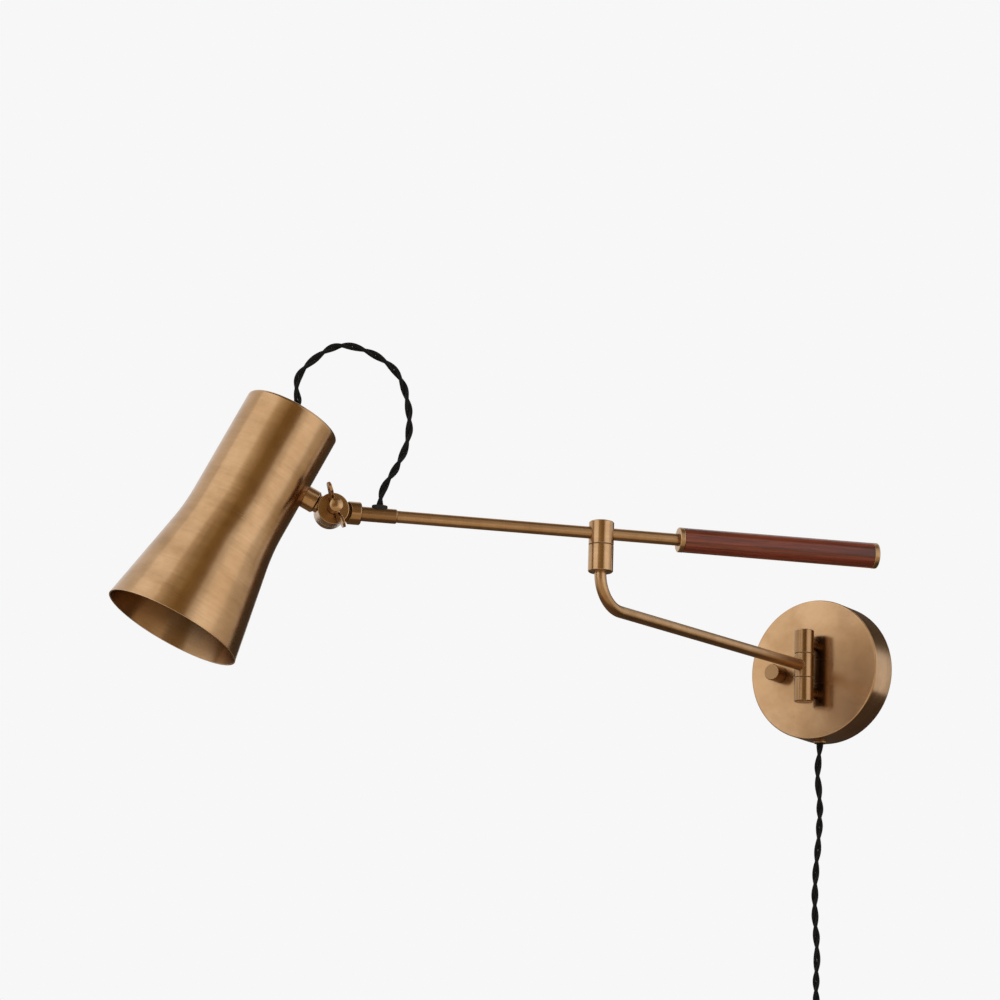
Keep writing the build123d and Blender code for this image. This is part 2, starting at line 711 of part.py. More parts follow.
# ---------------------------------------------------------------- tilt knuckle
knuckle_radius = knuckle_diameter / 2
rear_face = knuckle.offset(-knuckle_gap / 2)
front_face = knuckle.offset(knuckle_gap / 2)
rear_back = -knuckle_gap / 2 - knuckle_rear_thickness
knuckle_section = Plane(origin=knuckle.origin, x_dir=rod_back, z_dir=rod_back.cross(knuckle.z_dir))
collar_start = sleeve_start + sleeve_length
collar_stop = rod_reach - knuckle_collar_end
with BuildPart() as knuckle_rear:
    with BuildSketch(rod_section(-collar_stop)):
        Circle(knuckle_collar_diameter / 2)
    extrude(amount=collar_stop - collar_start)
    chamfer(edge_circles(knuckle_rear, knuckle_collar_diameter / 2), 0.8)
    with BuildSketch(rod_section(-rod_reach)):
        Circle(knuckle_neck_diameter / 2)
    extrude(amount=knuckle_collar_end + 2)
    with BuildSketch(front_face.offset(-knuckle_gap)):
        Circle(knuckle_radius + knuckle_scoop_gap)
    extrude(amount=2 * knuckle_collar_diameter, mode=Mode.SUBTRACT)
    with BuildSketch(knuckle_section):
        with BuildLine():
            FilletPolyline(
                (0, rear_back),
                (knuckle_radius, rear_back),
                (knuckle_radius, -knuckle_gap / 2),
                radius=knuckle_rear_rounding,
            )
            Polyline((knuckle_radius, -knuckle_gap / 2), (0, -knuckle_gap / 2), (0, rear_back))
        make_face()
    revolve(axis=knuckle_axis)
    with BuildSketch(rod_section(-collar_start)):
        Circle(tube_radius + seat)
    extrude(amount=-rod_seat - 0.2, mode=Mode.SUBTRACT)
    with BuildSketch(rear_face):
        Circle(wing_screw_diameter / 2 + running)
    extrude(amount=-wing_screw_depth - 0.3, mode=Mode.SUBTRACT)
save(knuckle_rear, "knuckle_rear")

knuckle_washer = round_piece(rear_face, knuckle_radius - 0.8, wing_screw_diameter / 2 + 0.3, knuckle_gap)
save(knuckle_washer, "knuckle_washer")

stub_axis = Axis(stub.origin, stub_out)
stub_section = Plane(origin=stub.origin, x_dir=knuckle.z_dir, z_dir=knuckle.z_dir.cross(stub_out))
with BuildPart() as knuckle_front:
    with BuildSketch(front_face):
        Circle(knuckle_radius)
    extrude(amount=knuckle_front_thickness)
    fillet(edge_circles(knuckle_front, knuckle_radius).sort_by(knuckle_axis)[-1], 0.5)
    with BuildSketch(stub):
        Circle(stub_neck_diameter / 2)
    extrude(amount=stub_start + 1)
    with BuildSketch(stub_section):
        with BuildLine():
            Polyline(
                (0, stub_start),
                (stub_diameter / 2 - stub_chamfer, stub_start),
                (stub_diameter / 2, stub_start + stub_chamfer),
                (stub_diameter / 2, shade_offset - shade_radius / 2),
                (0, shade_offset - shade_radius / 2),
                close=True,
            )
        make_face()
    revolve(axis=stub_axis)
    with BuildSketch(front_face):
        Circle(knuckle_radius + stub_scoop_gap)
    extrude(amount=-stub_diameter, mode=Mode.SUBTRACT)
    with BuildSketch(shade_section(shade_above + stub_diameter)):
        Circle(shade_radius + 0.03)
    extrude(amount=2 * stub_diameter, mode=Mode.SUBTRACT)
    with BuildSketch(front_face):
        Circle(wing_screw_diameter / 2 + running)
    extrude(amount=knuckle_front_thickness, mode=Mode.SUBTRACT)
    with BuildSketch(stub.offset(shade_offset)):
        Circle(stub_screw_diameter / 2 + seat)
    extrude(amount=-(shade_radius + stub_screw_length), mode=Mode.SUBTRACT)
save(knuckle_front, "knuckle_front")

# ---------------------------------------------------------------- wing screw
hub_foot = knuckle_gap / 2 + knuckle_front_thickness + friction_washer_thickness
hub_radius = wing_hub_diameter / 2
hub_crown = hub_foot + wing_hub_height - wing_hub_dome
wing_up = rod_back * -math.sin(math.radians(wing_tilt)) + up * math.cos(math.radians(wing_tilt))
wing = Plane(origin=knuckle.origin, x_dir=wing_up, z_dir=wing_up.cross(knuckle.z_dir))
with BuildPart() as wing_screw:
    with BuildSketch(wing):
        with BuildLine():
            foot = Polyline(
                (0, -wing_screw_depth),
                (wing_screw_diameter / 2, -wing_screw_depth),
                (wing_screw_diameter / 2, hub_foot),
                (wing_hub_base_diameter / 2, hub_foot),
                (hub_radius, hub_crown),
            )
            crown = TangentArc((0, hub_crown + wing_hub_dome), foot @ 1, tangent=(1, 0))
            Line(foot @ 0, crown @ 0)
        make_face()
    revolve(axis=knuckle_axis)
    with BuildSketch(wing) as wings:
        with BuildLine():
            Polyline(
                (1.5, hub_foot + 2.0),
                (7.5, hub_foot + 2.0),
                (wing_span / 2 - 0.6, hub_foot + 8.6),
                (wing_span / 2, hub_foot + 12.6),
                (wing_span / 2 - 3.2, hub_foot + 15.6),
                (wing_span / 2 - 7.4, hub_foot + 14.8),
                (6.0, hub_foot + 9.2),
                (1.5, hub_foot + 9.2),
                close=True,
            )
        make_face()
        fillet(wings.vertices().filter_by(lambda corner: abs(corner.X) > 6.5), 1.5)
        mirror(about=Plane.YZ)
    extrude(amount=wing_thickness / 2, both=True)
save(wing_screw, "wing_screw")

friction_washer = round_piece(
    front_face.offset(knuckle_front_thickness),
    friction_washer_diameter / 2,
    wing_screw_diameter / 2 + seat,
    friction_washer_thickness,
)
save(friction_washer, "friction_washer")

# ---------------------------------------------------------------- shade
mouth_radius = shade_mouth_diameter / 2
flare = math.atan2(mouth_radius - shade_radius, shade_height - shade_waist)
inner_radius = shade_radius - shade_wall
inner_mouth = mouth_radius - shade_wall / math.cos(flare)
inner_waist = shade_waist + shade_wall * math.tan(flare / 2)
with BuildPart() as shade:
    with BuildSketch(shade_side):
        with BuildLine():
            FilletPolyline(
                (0, 0),
                (shade_radius, 0),
                (shade_radius, -shade_waist),
                (mouth_radius, -shade_height),
                radius=[shade_top_radius, shade_waist_radius],
            )
            Line((mouth_radius, -shade_height), (inner_mouth, -shade_height))
            FilletPolyline(
                (inner_mouth, -shade_height),
                (inner_radius, -inner_waist),
                (inner_radius, -shade_wall),
                (0, -shade_wall),
                radius=[shade_waist_radius + shade_wall, shade_top_radius - shade_wall],
            )
            Line((0, -shade_wall), (0, 0))
        make_face()
    revolve(axis=shade_axis)
    with BuildSketch(shade_section(shade_wall + 1)):
        Circle(nipple_diameter / 2 + seat)
    extrude(amount=shade_wall + 2, mode=Mode.SUBTRACT)
    with BuildSketch(stub.offset(shade_offset - shade_radius - 1)):
        Circle(stub_screw_diameter / 2 + seat)
    extrude(amount=shade_wall + 3, mode=Mode.SUBTRACT)
save(shade, "shade")

screw_head = stub.offset(shade_offset - inner_radius)
with BuildPart() as stub_screw:
    with BuildSketch(screw_head):
        Circle(stub_screw_head_diameter / 2)
    extrude(amount=stub_screw_head_height)
    with BuildSketch(shade_section(shade_above + stub_diameter)):
        Circle(inner_radius - 0.02)
    extrude(amount=2 * stub_diameter, mode=Mode.INTERSECT)
    with BuildSketch(screw_head.offset(stub_screw_head_height / 2)):
        Circle(stub_screw_diameter / 2)
    extrude(amount=-(stub_screw_head_height / 2 + shade_wall + stub_screw_length - 1))
    with BuildSketch(screw_head.offset(stub_screw_head_height)):
        Rectangle(1.0, stub_screw_head_diameter)
    extrude(amount=-0.9, mode=Mode.SUBTRACT)
save(stub_screw, "stub_screw")

# ---------------------------------------------------------------- lampholder
socket_nipple = round_piece(
    shade_section(nipple_length - nipple_rise), nipple_diameter / 2, nipple_bore / 2, nipple_length
)
save(socket_nipple, "socket_nipple")

with BuildPart() as nipple_nut:
    with BuildSketch(shade_section(shade_wall)):
        RegularPolygon(nipple_nut_flats / 2, 6, major_radius=False)
        Circle(nipple_diameter / 2 + seat, mode=Mode.SUBTRACT)
    extrude(amount=-nipple_nut_height)
save(nipple_nut, "nipple_nut")

with BuildPart() as shade_bush:
    with BuildSketch(shade_side):
        with BuildLine():
            Polyline(
                (nipple_diameter / 2 + seat, 0),
                (bush_base_diameter / 2, 0),
                (bush_base_diameter / 2, 1.6),
                (bush_top_diameter / 2, bush_height),
                (cord_radius + cord_room, bush_height),
                (cord_radius + cord_room, nipple_rise + 0.1),
                (nipple_diameter / 2 + seat, nipple_rise + 0.1),
                close=True,
            )
        make_face()
    revolve(axis=shade_axis)
save(shade_bush, "shade_bush")

cap_foot = socket_cap_top + socket_cap_height
socket_radius = socket_diameter / 2
with BuildPart() as socket_cap:
    with BuildSketch(shade_side):
        with BuildLine():
            Polyline(
                (nipple_diameter / 2 + seat, -socket_cap_top),
                (9, -socket_cap_top),
                (socket_radius, -socket_cap_top - 7),
                (socket_radius, -cap_foot),
                (socket_radius - socket_cap_wall, -cap_foot),
                (socket_radius - socket_cap_wall, -socket_cap_top - 7.4),
                (8.6, -socket_cap_top - socket_cap_wall),
                (nipple_diameter / 2 + seat, -socket_cap_top - socket_cap_wall),
                close=True,
            )
        make_face()
    revolve(axis=shade_axis)
save(socket_cap, "socket_cap")

shell_outside = screw_shell_radius + screw_shell_wall
with BuildPart() as socket_body:
    with BuildSketch(shade_section(cap_foot)):
        Circle(socket_radius)
    extrude(amount=-socket_body_height)
    fillet(edge_circles(socket_body, socket_radius).sort_by(shade_axis)[0], 1.5)
    with BuildSketch(shade_section(cap_foot + socket_body_height)):
        Circle(shell_outside + seat)
    extrude(amount=socket_body_height - socket_floor, mode=Mode.SUBTRACT)
    with BuildSketch(shade_section(cap_foot)):
        with Locations((0, 9), (0, -9)):
            Circle(1.5 + seat)
    extrude(amount=-6, mode=Mode.SUBTRACT)
save(socket_body, "socket_body")

with BuildPart() as contact_screws:
    with BuildSketch(shade_section(cap_foot + 5)):
        with Locations((0, 9), (0, -9)):
            Circle(1.5)
    extrude(amount=5)
    with BuildSketch(shade_section(cap_foot)):
        with Locations((0, 9), (0, -9)):
            Circle(2.8)
    extrude(amount=1.6)
save(contact_screws, "contact_screws")

shell_foot = cap_foot + socket_body_height - 0.6
screw_shell = round_piece(shade_section(shell_foot), shell_outside, screw_shell_radius, screw_shell_length)
save(screw_shell, "screw_shell")

floor_depth = cap_foot + socket_floor
with BuildPart() as centre_contact:
    with BuildSketch(shade_section(floor_depth)):
        Circle(4.5)
    extrude(amount=-contact_plate)
    with BuildSketch(shade_section(floor_depth + contact_plate)):
        Circle(2.2)
    extrude(amount=-contact_button)
save(centre_contact, "centre_contact")

# ---------------------------------------------------------------- supply cord
gland_foot = -plate_radius - gland_rise
gland_base = Plane(origin=(0, gland_y, gland_foot), x_dir=(1, 0, 0), z_dir=(0, 0, 1))
neck_top = -plate_inside + gland_neck_length - 1.6
with BuildPart() as cord_gland:
    with BuildSketch(gland_base):
        Circle(gland_diameter / 2)
    extrude(amount=gland_rise + 1)
    chamfer(edge_circles(cord_gland, gland_diameter / 2).sort_by(Axis.Z)[0], 0.6)
    with BuildSketch(Plane.XZ):
        Circle(plate_radius + 0.02)
    extrude(amount=plate_depth, mode=Mode.SUBTRACT)
    with BuildSketch(gland_base.offset(gland_rise - 1)):
        Circle(gland_neck_diameter / 2)
    extrude(amount=neck_top - gland_foot - gland_rise + 1)
    with BuildSketch(gland_base):
        Circle(cord_radius + cord_room)
    extrude(amount=neck_top - gland_foot, mode=Mode.SUBTRACT)
save(cord_gland, "cord_gland")

# the nut is flat and the plate's rim is round, so its corners set how high it sits
nut_corner = gland_nut_flats / math.sqrt(3)
nut_height = -math.sqrt(plate_inside**2 - nut_corner**2) + 0.1
nut_base = Plane(origin=(0, gland_y, nut_height), x_dir=(1, 0, 0), z_dir=(0, 0, 1))
with BuildPart() as gland_nut:
    with BuildSketch(nut_base):
        RegularPolygon(gland_nut_flats / 2, 6, major_radius=False)
        Circle(gland_neck_diameter / 2 + seat, mode=Mode.SUBTRACT)
    extrude(amount=gland_nut_height)
save(gland_nut, "gland_nut")

grip_base = Plane(origin=(0, gland_y, neck_top + 0.05), x_dir=(1, 0, 0), z_dir=(0, 0, 1))
cord_grip = round_piece(grip_base, grip_diameter / 2, cord_radius + cord_room, grip_length)
save(cord_grip, "cord_grip")


def corner_radii(points):
    """Largest arcs that the runs of a cord's route allow, one for each corner."""
    radii = []
    for before, corner, after in zip(points, points[1:], points[2:]):
        run_in = Vector(*corner) - Vector(*before)
        run_out = Vector(*after) - Vector(*corner)
        turn = math.radians(run_in.get_angle(run_out))
        radii.append(0.45 * min(run_in.length, run_out.length) / math.tan(turn / 2))
    return radii


def cord_piece(label, points, start_plane):
    """A plain round cord along straight runs joined by tangent arcs."""
    radii = corner_radii(points)
    with BuildPart() as piece:
        with BuildLine() as route:
            FilletPolyline(*points, radius=radii)
        with BuildSketch(start_plane):
            Circle(cord_radius)
        sweep()
    length = sum(edge.length for edge in route.edges())
    true_volume = math.pi * cord_radius**2 * length
    print(label, "radii", [round(r) for r in radii], "length", round(length, 1))
    print(label, "volume over section x length", round(piece.part.volume / true_volume, 5))
    return piece, length


cord_start = neck_top + grip_length + 1
coil_side_x = -1.0             # where the cord comes down into the coil
supply_points = [
    (0.0, gland_y, cord_start),
    (0.0, gland_y, gland_foot - 4.8),
    (-2.9, gland_y, -87.0),
    (0.8, gland_y, -113.0),
    (-0.2, gland_y - 0.4, -144.0),
    (-3.0, gland_y - 0.6, -172.0),
    (-3.9, gland_y, -206.0),
    (-0.8, gland_y + 0.4, -238.0),
    (-2.0, gland_y, -264.0),
    (-0.8, gland_y, -293.0),
    (coil_side_x, gland_y, coil_height + coil_entry_gap),
]
supply_cord, supply_length = cord_piece(
    "supply_cord",
    supply_points,
    Plane(origin=supply_points[0], x_dir=(1, 0, 0), z_dir=(0, 0, -1)),
)
save(supply_cord, "supply_cord")

coil_x = coil_side_x - coil_radius
with BuildPart() as cord_coil:
    with BuildSketch(Plane(origin=(coil_x, gland_y, coil_height), x_dir=(1, 0, 0), z_dir=(0, 0, 1))):
        with Locations((coil_radius, 0)):
            Circle(coil_bundle_radius)
    revolve(axis=Axis((coil_x, gland_y, coil_height), (0, 1, 0)))
save(cord_coil, "cord_coil")

tie_radius = coil_bundle_radius + coil_tie_room
tie_start = Vector(math.sin(math.radians(tie_angle / 2)), 0, math.cos(math.radians(tie_angle / 2)))
coil_middle = Vector(coil_x, gland_y, coil_height)
tie_plane = Plane(
    origin=coil_middle + tie_start * coil_radius, x_dir=tie_start, z_dir=tie_start.cross(Vector(0, 1, 0))
)
with BuildPart() as coil_tie:
    with BuildSketch(tie_plane):
        Circle(tie_radius + tie_thickness)
        Circle(tie_radius, mode=Mode.SUBTRACT)
    revolve(axis=Axis(coil_middle, (0, -1, 0)), revolution_arc=tie_angle)
save(coil_tie, "coil_tie")

supply_outside = supply_length - (cord_start - gland_foot)
coiled_length = coil_turns * 2 * math.pi * coil_radius
tail_length = round(cord_length - supply_outside - coiled_length - coil_entry_gap, 1)
tail_top = coil_height - coil_entry_gap
plug_top = tail_top - tail_length
tail_points = [
    (coil_side_x, gland_y, tail_top),
    (coil_side_x + 1.0, gland_y, tail_top - tail_length * 0.32),
    (coil_side_x, gland_y, tail_top - tail_length * 0.67),
    (coil_side_x, gland_y, plug_top),
]
plug_tail, tail_run = cord_piece(
    "plug_tail",
    tail_points,
    Plane(
        origin=tail_points[0],
        x_dir=(0, 1, 0),
        z_dir=(Vector(*tail_points[1]) - Vector(*tail_points[0])).normalized(),
    ),
)
save(plug_tail, "plug_tail")
print("cord outside the gland, coil and tail:", round(supply_outside + coiled_length + tail_run, 1))

plug = Plane(origin=(coil_side_x, gland_y, plug_top), x_dir=(1, 0, 0), z_dir=(0, 0, -1))
with BuildPart() as plug_body:
    with BuildSketch(Plane(origin=plug.origin, x_dir=(1, 0, 0), z_dir=(0, -1, 0))):
        with BuildLine():
            Polyline(
                (0, 0),
                (cord_radius + 0.9, 0),
                (cord_radius + 2.6, -plug_relief_height),
                (cord_radius + 3.4, -plug_relief_height - 2),
                (0, -plug_relief_height - 2),
                close=True,
            )
        make_face()
    revolve(axis=Axis(plug.origin, up))
    with BuildSketch(plug.offset(plug_relief_height)):
        RectangleRounded(plug_width * 0.7, plug_thickness * 0.8, 5)
    with BuildSketch(plug.offset(plug_relief_height + plug_body_height * 0.45)):
        RectangleRounded(plug_width, plug_thickness, 5)
    loft()
    with BuildSketch(plug.offset(plug_relief_height + plug_body_height * 0.45)):
        RectangleRounded(plug_width, plug_thickness, 5)
    extrude(amount=plug_body_height * 0.55)
    bottom_edges = plug_body.faces().sort_by(Axis.Z)[0].edges()
    fillet(bottom_edges, 1.2)
    with BuildSketch(plug.offset(plug_relief_height + plug_body_height)):
        with Locations((blade_spacing / 2, 0), (-blade_spacing / 2, 0)):
            Rectangle(blade_thickness + 0.04, blade_width + 0.04)
    extrude(amount=-10, mode=Mode.SUBTRACT)
save(plug_body, "plug_body")

with BuildPart() as plug_blades:
    with BuildSketch(plug.offset(plug_relief_height + plug_body_height - 9.9)):
        with Locations((blade_spacing / 2, 0), (-blade_spacing / 2, 0)):
            Rectangle(blade_thickness, blade_width)
    extrude(amount=9.9 + blade_length)
    chamfer(plug_blades.edges().filter_by(Axis.Y).group_by(Axis.Z)[0], 0.4)
save(plug_blades, "plug_blades")

# ---------------------------------------------------------------- loop cord
# Leaves the bush on the shade's top, rises, turns over and comes down into the rod's grommet.
# Each point is its distance from the elbow axis along the rod, and its height.
loop_outline = [
    (247.4, 153.0),
    (246.4, 165.0),
    (234.0, 179.6),
    (215.5, 193.7),
    (189.4, 189.2),
    (166.3, 174.6),
    (157.5, 148.5),
    (156.0, 122.0),
    (164.5, 98.5),
    (175.5, 80.5),
]
bush_seat = shade_top - shade_up * 3
bush_exit = shade_top + shade_up * loop_rise
grommet_seat = grommet_plane.origin + up * (tube_radius - tube_wall + 0.2)
loop_route = [bush_seat, bush_exit]
loop_route += [rod_side.from_local_coords((-reach, height - rod_height, 0)) for reach, height in loop_outline]
loop_route += [grommet_plane.origin + up * (grommet_top + 3.3), grommet_seat]
loop_points = [(p.X, p.Y, p.Z) for p in loop_route]
loop_cord, _ = cord_piece(
    "loop_cord", loop_points, Plane(origin=bush_seat, x_dir=stub_out, z_dir=shade_up)
)
save(loop_cord, "loop_cord")
print("loop points, metres:")
for point in loop_points:
    print("   ", tuple(round(c / 1000, 5) for c in point))
print("shade top", shade_top, "shade up", shade_up, "knuckle", knuckle.origin, "axis", knuckle.z_dir)
print("elbow", elbow.origin, "rod height", rod_height, "rod back", rod_back, "stub out", stub_out)
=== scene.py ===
import json
import math

import bpy
from mathutils import Matrix, Vector


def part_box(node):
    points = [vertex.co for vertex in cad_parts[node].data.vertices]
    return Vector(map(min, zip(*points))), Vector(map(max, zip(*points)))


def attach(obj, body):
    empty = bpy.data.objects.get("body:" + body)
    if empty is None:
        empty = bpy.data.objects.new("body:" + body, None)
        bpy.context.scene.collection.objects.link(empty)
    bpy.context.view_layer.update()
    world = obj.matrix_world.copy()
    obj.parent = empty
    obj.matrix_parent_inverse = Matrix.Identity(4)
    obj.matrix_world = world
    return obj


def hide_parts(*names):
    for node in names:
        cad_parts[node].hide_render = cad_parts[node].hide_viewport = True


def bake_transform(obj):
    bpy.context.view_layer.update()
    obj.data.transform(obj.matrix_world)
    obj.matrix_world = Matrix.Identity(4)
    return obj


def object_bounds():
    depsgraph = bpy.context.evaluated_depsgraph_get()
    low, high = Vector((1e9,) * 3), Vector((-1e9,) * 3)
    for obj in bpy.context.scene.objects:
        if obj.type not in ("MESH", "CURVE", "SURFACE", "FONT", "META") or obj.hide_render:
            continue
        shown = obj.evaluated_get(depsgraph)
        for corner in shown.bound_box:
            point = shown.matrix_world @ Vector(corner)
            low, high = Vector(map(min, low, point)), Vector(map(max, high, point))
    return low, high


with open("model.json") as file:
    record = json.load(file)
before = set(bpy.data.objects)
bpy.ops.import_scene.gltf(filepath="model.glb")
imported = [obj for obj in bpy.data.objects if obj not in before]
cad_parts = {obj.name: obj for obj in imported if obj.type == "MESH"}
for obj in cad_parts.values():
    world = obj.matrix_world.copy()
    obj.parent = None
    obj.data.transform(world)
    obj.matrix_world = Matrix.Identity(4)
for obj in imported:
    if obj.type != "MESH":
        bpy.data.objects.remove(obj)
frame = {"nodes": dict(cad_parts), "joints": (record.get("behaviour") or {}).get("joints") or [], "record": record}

cad_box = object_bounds()
UP = Vector((0, 0, 1))

# ---------------------------------------------------------------- places taken from the frame
joint_at = {joint["name"]: Vector(joint["pos_m"]) for joint in frame["joints"]}
joint_axis = {joint["name"]: Vector(joint["axis"]) for joint in frame["joints"]}
mounts = {mount["name"]: mount for mount in frame["record"]["mounts"]}

hinge = joint_at["wall_swing"]
elbow = joint_at["elbow_swing"]
knuckle = joint_at["shade_tilt"]
knuckle_axis = joint_axis["shade_tilt"]
rod_middle = Vector((elbow.x, elbow.y, knuckle.z))
rod_out = (knuckle - rod_middle).normalized()
arm_out = Vector((elbow.x - hinge.x, elbow.y - hinge.y, 0)).normalized()
shade_up = -Vector(mounts["bulb_socket"]["axis"]).normalized()
socket_middle = Vector(mounts["bulb_socket"]["pos_m"])
SOCKET_BELOW_TOP = 0.0494  # from the shade's top to the bulb_socket mount, along the shade
shade_top = socket_middle + shade_up * SOCKET_BELOW_TOP


# ---------------------------------------------------------------- camera
LENS = 117.83  # mm
SENSOR_WIDTH = 36  # mm
CAMERA_PLACE = (1.30653, -2.45572, -0.52156)
# degrees: round the upright, up from straight down, and round the line of sight
CAMERA_TURN, CAMERA_TILT, CAMERA_ROLL = 33.9495, 103.5441, 1.9137


def make_camera():
    """A long lens, low and to the right of the sconce, that looks slightly up at it."""
    camera = bpy.data.objects.new("camera", bpy.data.cameras.new("camera"))
    camera.data.lens = LENS
    camera.data.sensor_width = SENSOR_WIDTH
    turn = Matrix.Rotation(math.radians(CAMERA_TURN), 4, "Z")
    tilt = Matrix.Rotation(math.radians(CAMERA_TILT), 4, "X")
    roll = Matrix.Rotation(math.radians(CAMERA_ROLL), 4, "Z")
    camera.matrix_world = Matrix.Translation(CAMERA_PLACE) @ turn @ tilt @ roll
    bpy.context.scene.collection.objects.link(camera)
    bpy.context.scene.camera = camera
    bpy.context.scene.view_settings.view_transform = "Standard"


# ---------------------------------------------------------------- node helpers
def rgb(red, green, blue):
    """A swatch read off a colour card, 0 to 255, as a linear colour."""
    levels = [level / 255 for level in (red, green, blue)]
    linear = [v / 12.92 if v <= 0.04045 else ((v + 0.055) / 1.055) ** 2.4 for v in levels]
    return (*linear, 1)


def plug(tree, node, inputs):
    """Fills a node's sockets: a value goes on the socket itself, and another node's output is linked to it."""
    for socket, value in inputs.items():
        if isinstance(value, bpy.types.NodeSocket):
            tree.links.new(value, node.inputs[socket])
        else:
            node.inputs[socket].default_value = value


def add(tree, kind, inputs=None, **settings):
    """Adds a node with its settings, and fills its sockets."""
    node = tree.nodes.new(kind)
    for setting, value in settings.items():
        setattr(node, setting, value)
    plug(tree, node, inputs or {})
    return node


def blend_colours(tree, share, first, second):
    return add(tree, "ShaderNodeMix", {0: share, 6: first, 7: second}, data_type="RGBA").outputs[2]


def calculate(tree, operation, *values):
    return add(tree, "ShaderNodeMath", dict(enumerate(values)), operation=operation).outputs[0]


def vector_math(tree, operation, *values):
    return add(tree, "ShaderNodeVectorMath", dict(enumerate(values)), operation=operation).outputs[0]


def scaled(tree, vector, factor):
    return add(tree, "ShaderNodeVectorMath", {0: vector, "Scale": factor}, operation="SCALE").outputs[0]


def remap(tree, value, low, high, to_low=0.0, to_high=1.0):
    """Stretches low..high to to_low..to_high, and stops at both ends."""
    limits = {"Value": value, "From Min": low, "From Max": high, "To Min": to_low, "To Max": to_high}
    return add(tree, "ShaderNodeMapRange", limits).outputs["Result"]


def noise(tree, place, stretch, detail=3.0, roughness=0.55):
    """Noise on a place, with so many grains to the metre along each of its axes."""
    grains = vector_math(tree, "MULTIPLY", place, stretch)
    sockets = {"Vector": grains, "Scale": 1.0, "Detail": detail, "Roughness": roughness}
    return add(tree, "ShaderNodeTexNoise", sockets).outputs["Fac"]


def piece_space(tree, axis, origin):
    """Object coordinates turned so that the piece's own axis is Z and its middle is zero."""
    turn = Vector(axis).rotation_difference(UP)
    coordinates = add(tree, "ShaderNodeTexCoord").outputs["Object"]
    shift = -(turn @ Vector(origin))
    sockets = {"Vector": coordinates, "Location": shift, "Rotation": turn.to_euler()}
    return add(tree, "ShaderNodeMapping", sockets).outputs["Vector"]


def new_finish(name):
    """A material with its tree and its Principled shader."""
    material = bpy.data.materials.new(name)
    material.use_nodes = True
    tree = material.node_tree
    return material, tree, tree.nodes["Principled BSDF"]


def bare_material(name):
    """A material with an empty tree, for the studio's own surfaces."""
    material = bpy.data.materials.new(name)
    material.use_nodes = True
    material.node_tree.nodes.clear()
    return material, material.node_tree


EDGE_SAMPLES = 8
# how far the rounded normal agrees with the flat one: beyond an edge's reach, and on the edge itself
FLAT, ON_EDGE = 0.99, 0.86


def rounded_edges(tree, width):
    """The normal over rounded edges, and 1 where an edge is near, where the brass is lightened: partly wear,
    partly a painted highlight.
    """
    rounded = add(tree, "ShaderNodeBevel", {"Radius": width}, samples=EDGE_SAMPLES).outputs["Normal"]
    flat = add(tree, "ShaderNodeNewGeometry").outputs["Normal"]
    pair = {0: rounded, 1: flat}
    agree = add(tree, "ShaderNodeVectorMath", pair, operation="DOT_PRODUCT").outputs["Value"]
    return rounded, remap(tree, agree, FLAT, ON_EDGE)


def emboss(tree, shader, height, strength, depth, normal=None):
    """Presses a height into the shader's normal, on top of another normal where one is given."""
    sockets = {"Strength": strength, "Distance": depth, "Height": height}
    if normal is not None:
        sockets["Normal"] = normal
    plug(tree, shader, {"Normal": add(tree, "ShaderNodeBump", sockets).outputs[0]})


def along_axis(tree, axis):
    """The piece's axis as a direction in the world, which the shader takes as its tangent."""
    spaces = {"vector_type": "VECTOR", "convert_from": "OBJECT", "convert_to": "WORLD"}
    return add(tree, "ShaderNodeVectorTransform", {"Vector": tuple(axis)}, **spaces).outputs[0]


# ---------------------------------------------------------------- studio
FLOOR_BELOW = 0.06  # under the lowest piece
FLOOR_REACH = 8
PAPER = (0.88, 0.88, 0.88, 1)
PAPER_PLAIN, PAPER_GONE = 0.7, 2.6  # distances from the origin between which paper turns into background
BACKGROUND = (0.93, 0.93, 0.93, 1)
FILL_COLOUR = (1, 1, 1, 1)
FILL_LIGHT = 0.7


def seen_directly(tree):
    """1 for camera, glossy and transmitted rays, which show the background, and 0 for the rest."""
    rays = add(tree, "ShaderNodeLightPath").outputs
    seen = calculate(tree, "MAXIMUM", rays["Is Camera Ray"], rays["Is Glossy Ray"])
    return calculate(tree, "MAXIMUM", seen, rays["Is Transmission Ray"])


def make_world():
    """An even fill on the object, and the background for rays that miss everything."""
    world = bpy.data.worlds.new("studio")
    bpy.context.scene.world = world
    world.use_nodes = True
    tree = world.node_tree
    fill = tree.nodes["Background"]
    plug(tree, fill, {"Color": FILL_COLOUR, "Strength": FILL_LIGHT})
    backdrop = add(tree, "ShaderNodeBackground", {"Color": BACKGROUND})
    sockets = {0: seen_directly(tree), 1: fill.outputs[0], 2: backdrop.outputs[0]}
    mix = add(tree, "ShaderNodeMixShader", sockets)
    plug(tree, tree.nodes["World Output"], {"Surface": mix.outputs[0]})


def paper_floor():
    """Pale paper that keeps the object's shadow and runs out into the background further off."""
    material, tree = bare_material("pale_paper")
    paper = add(tree, "ShaderNodeBsdfDiffuse", {"Color": PAPER})
    backdrop = add(tree, "ShaderNodeEmission", {"Color": BACKGROUND, "Strength": 1.0})
    place = add(tree, "ShaderNodeTexCoord").outputs["Object"]
    reach = add(tree, "ShaderNodeVectorMath", {0: place}, operation="LENGTH").outputs["Value"]
    gone = remap(tree, reach, PAPER_PLAIN, PAPER_GONE)
    share = calculate(tree, "MULTIPLY", gone, seen_directly(tree))
    mix = add(tree, "ShaderNodeMixShader", {0: share, 1: paper.outputs[0], 2: backdrop.outputs[0]})
    add(tree, "ShaderNodeOutputMaterial", {"Surface": mix.outputs[0]})
    return material


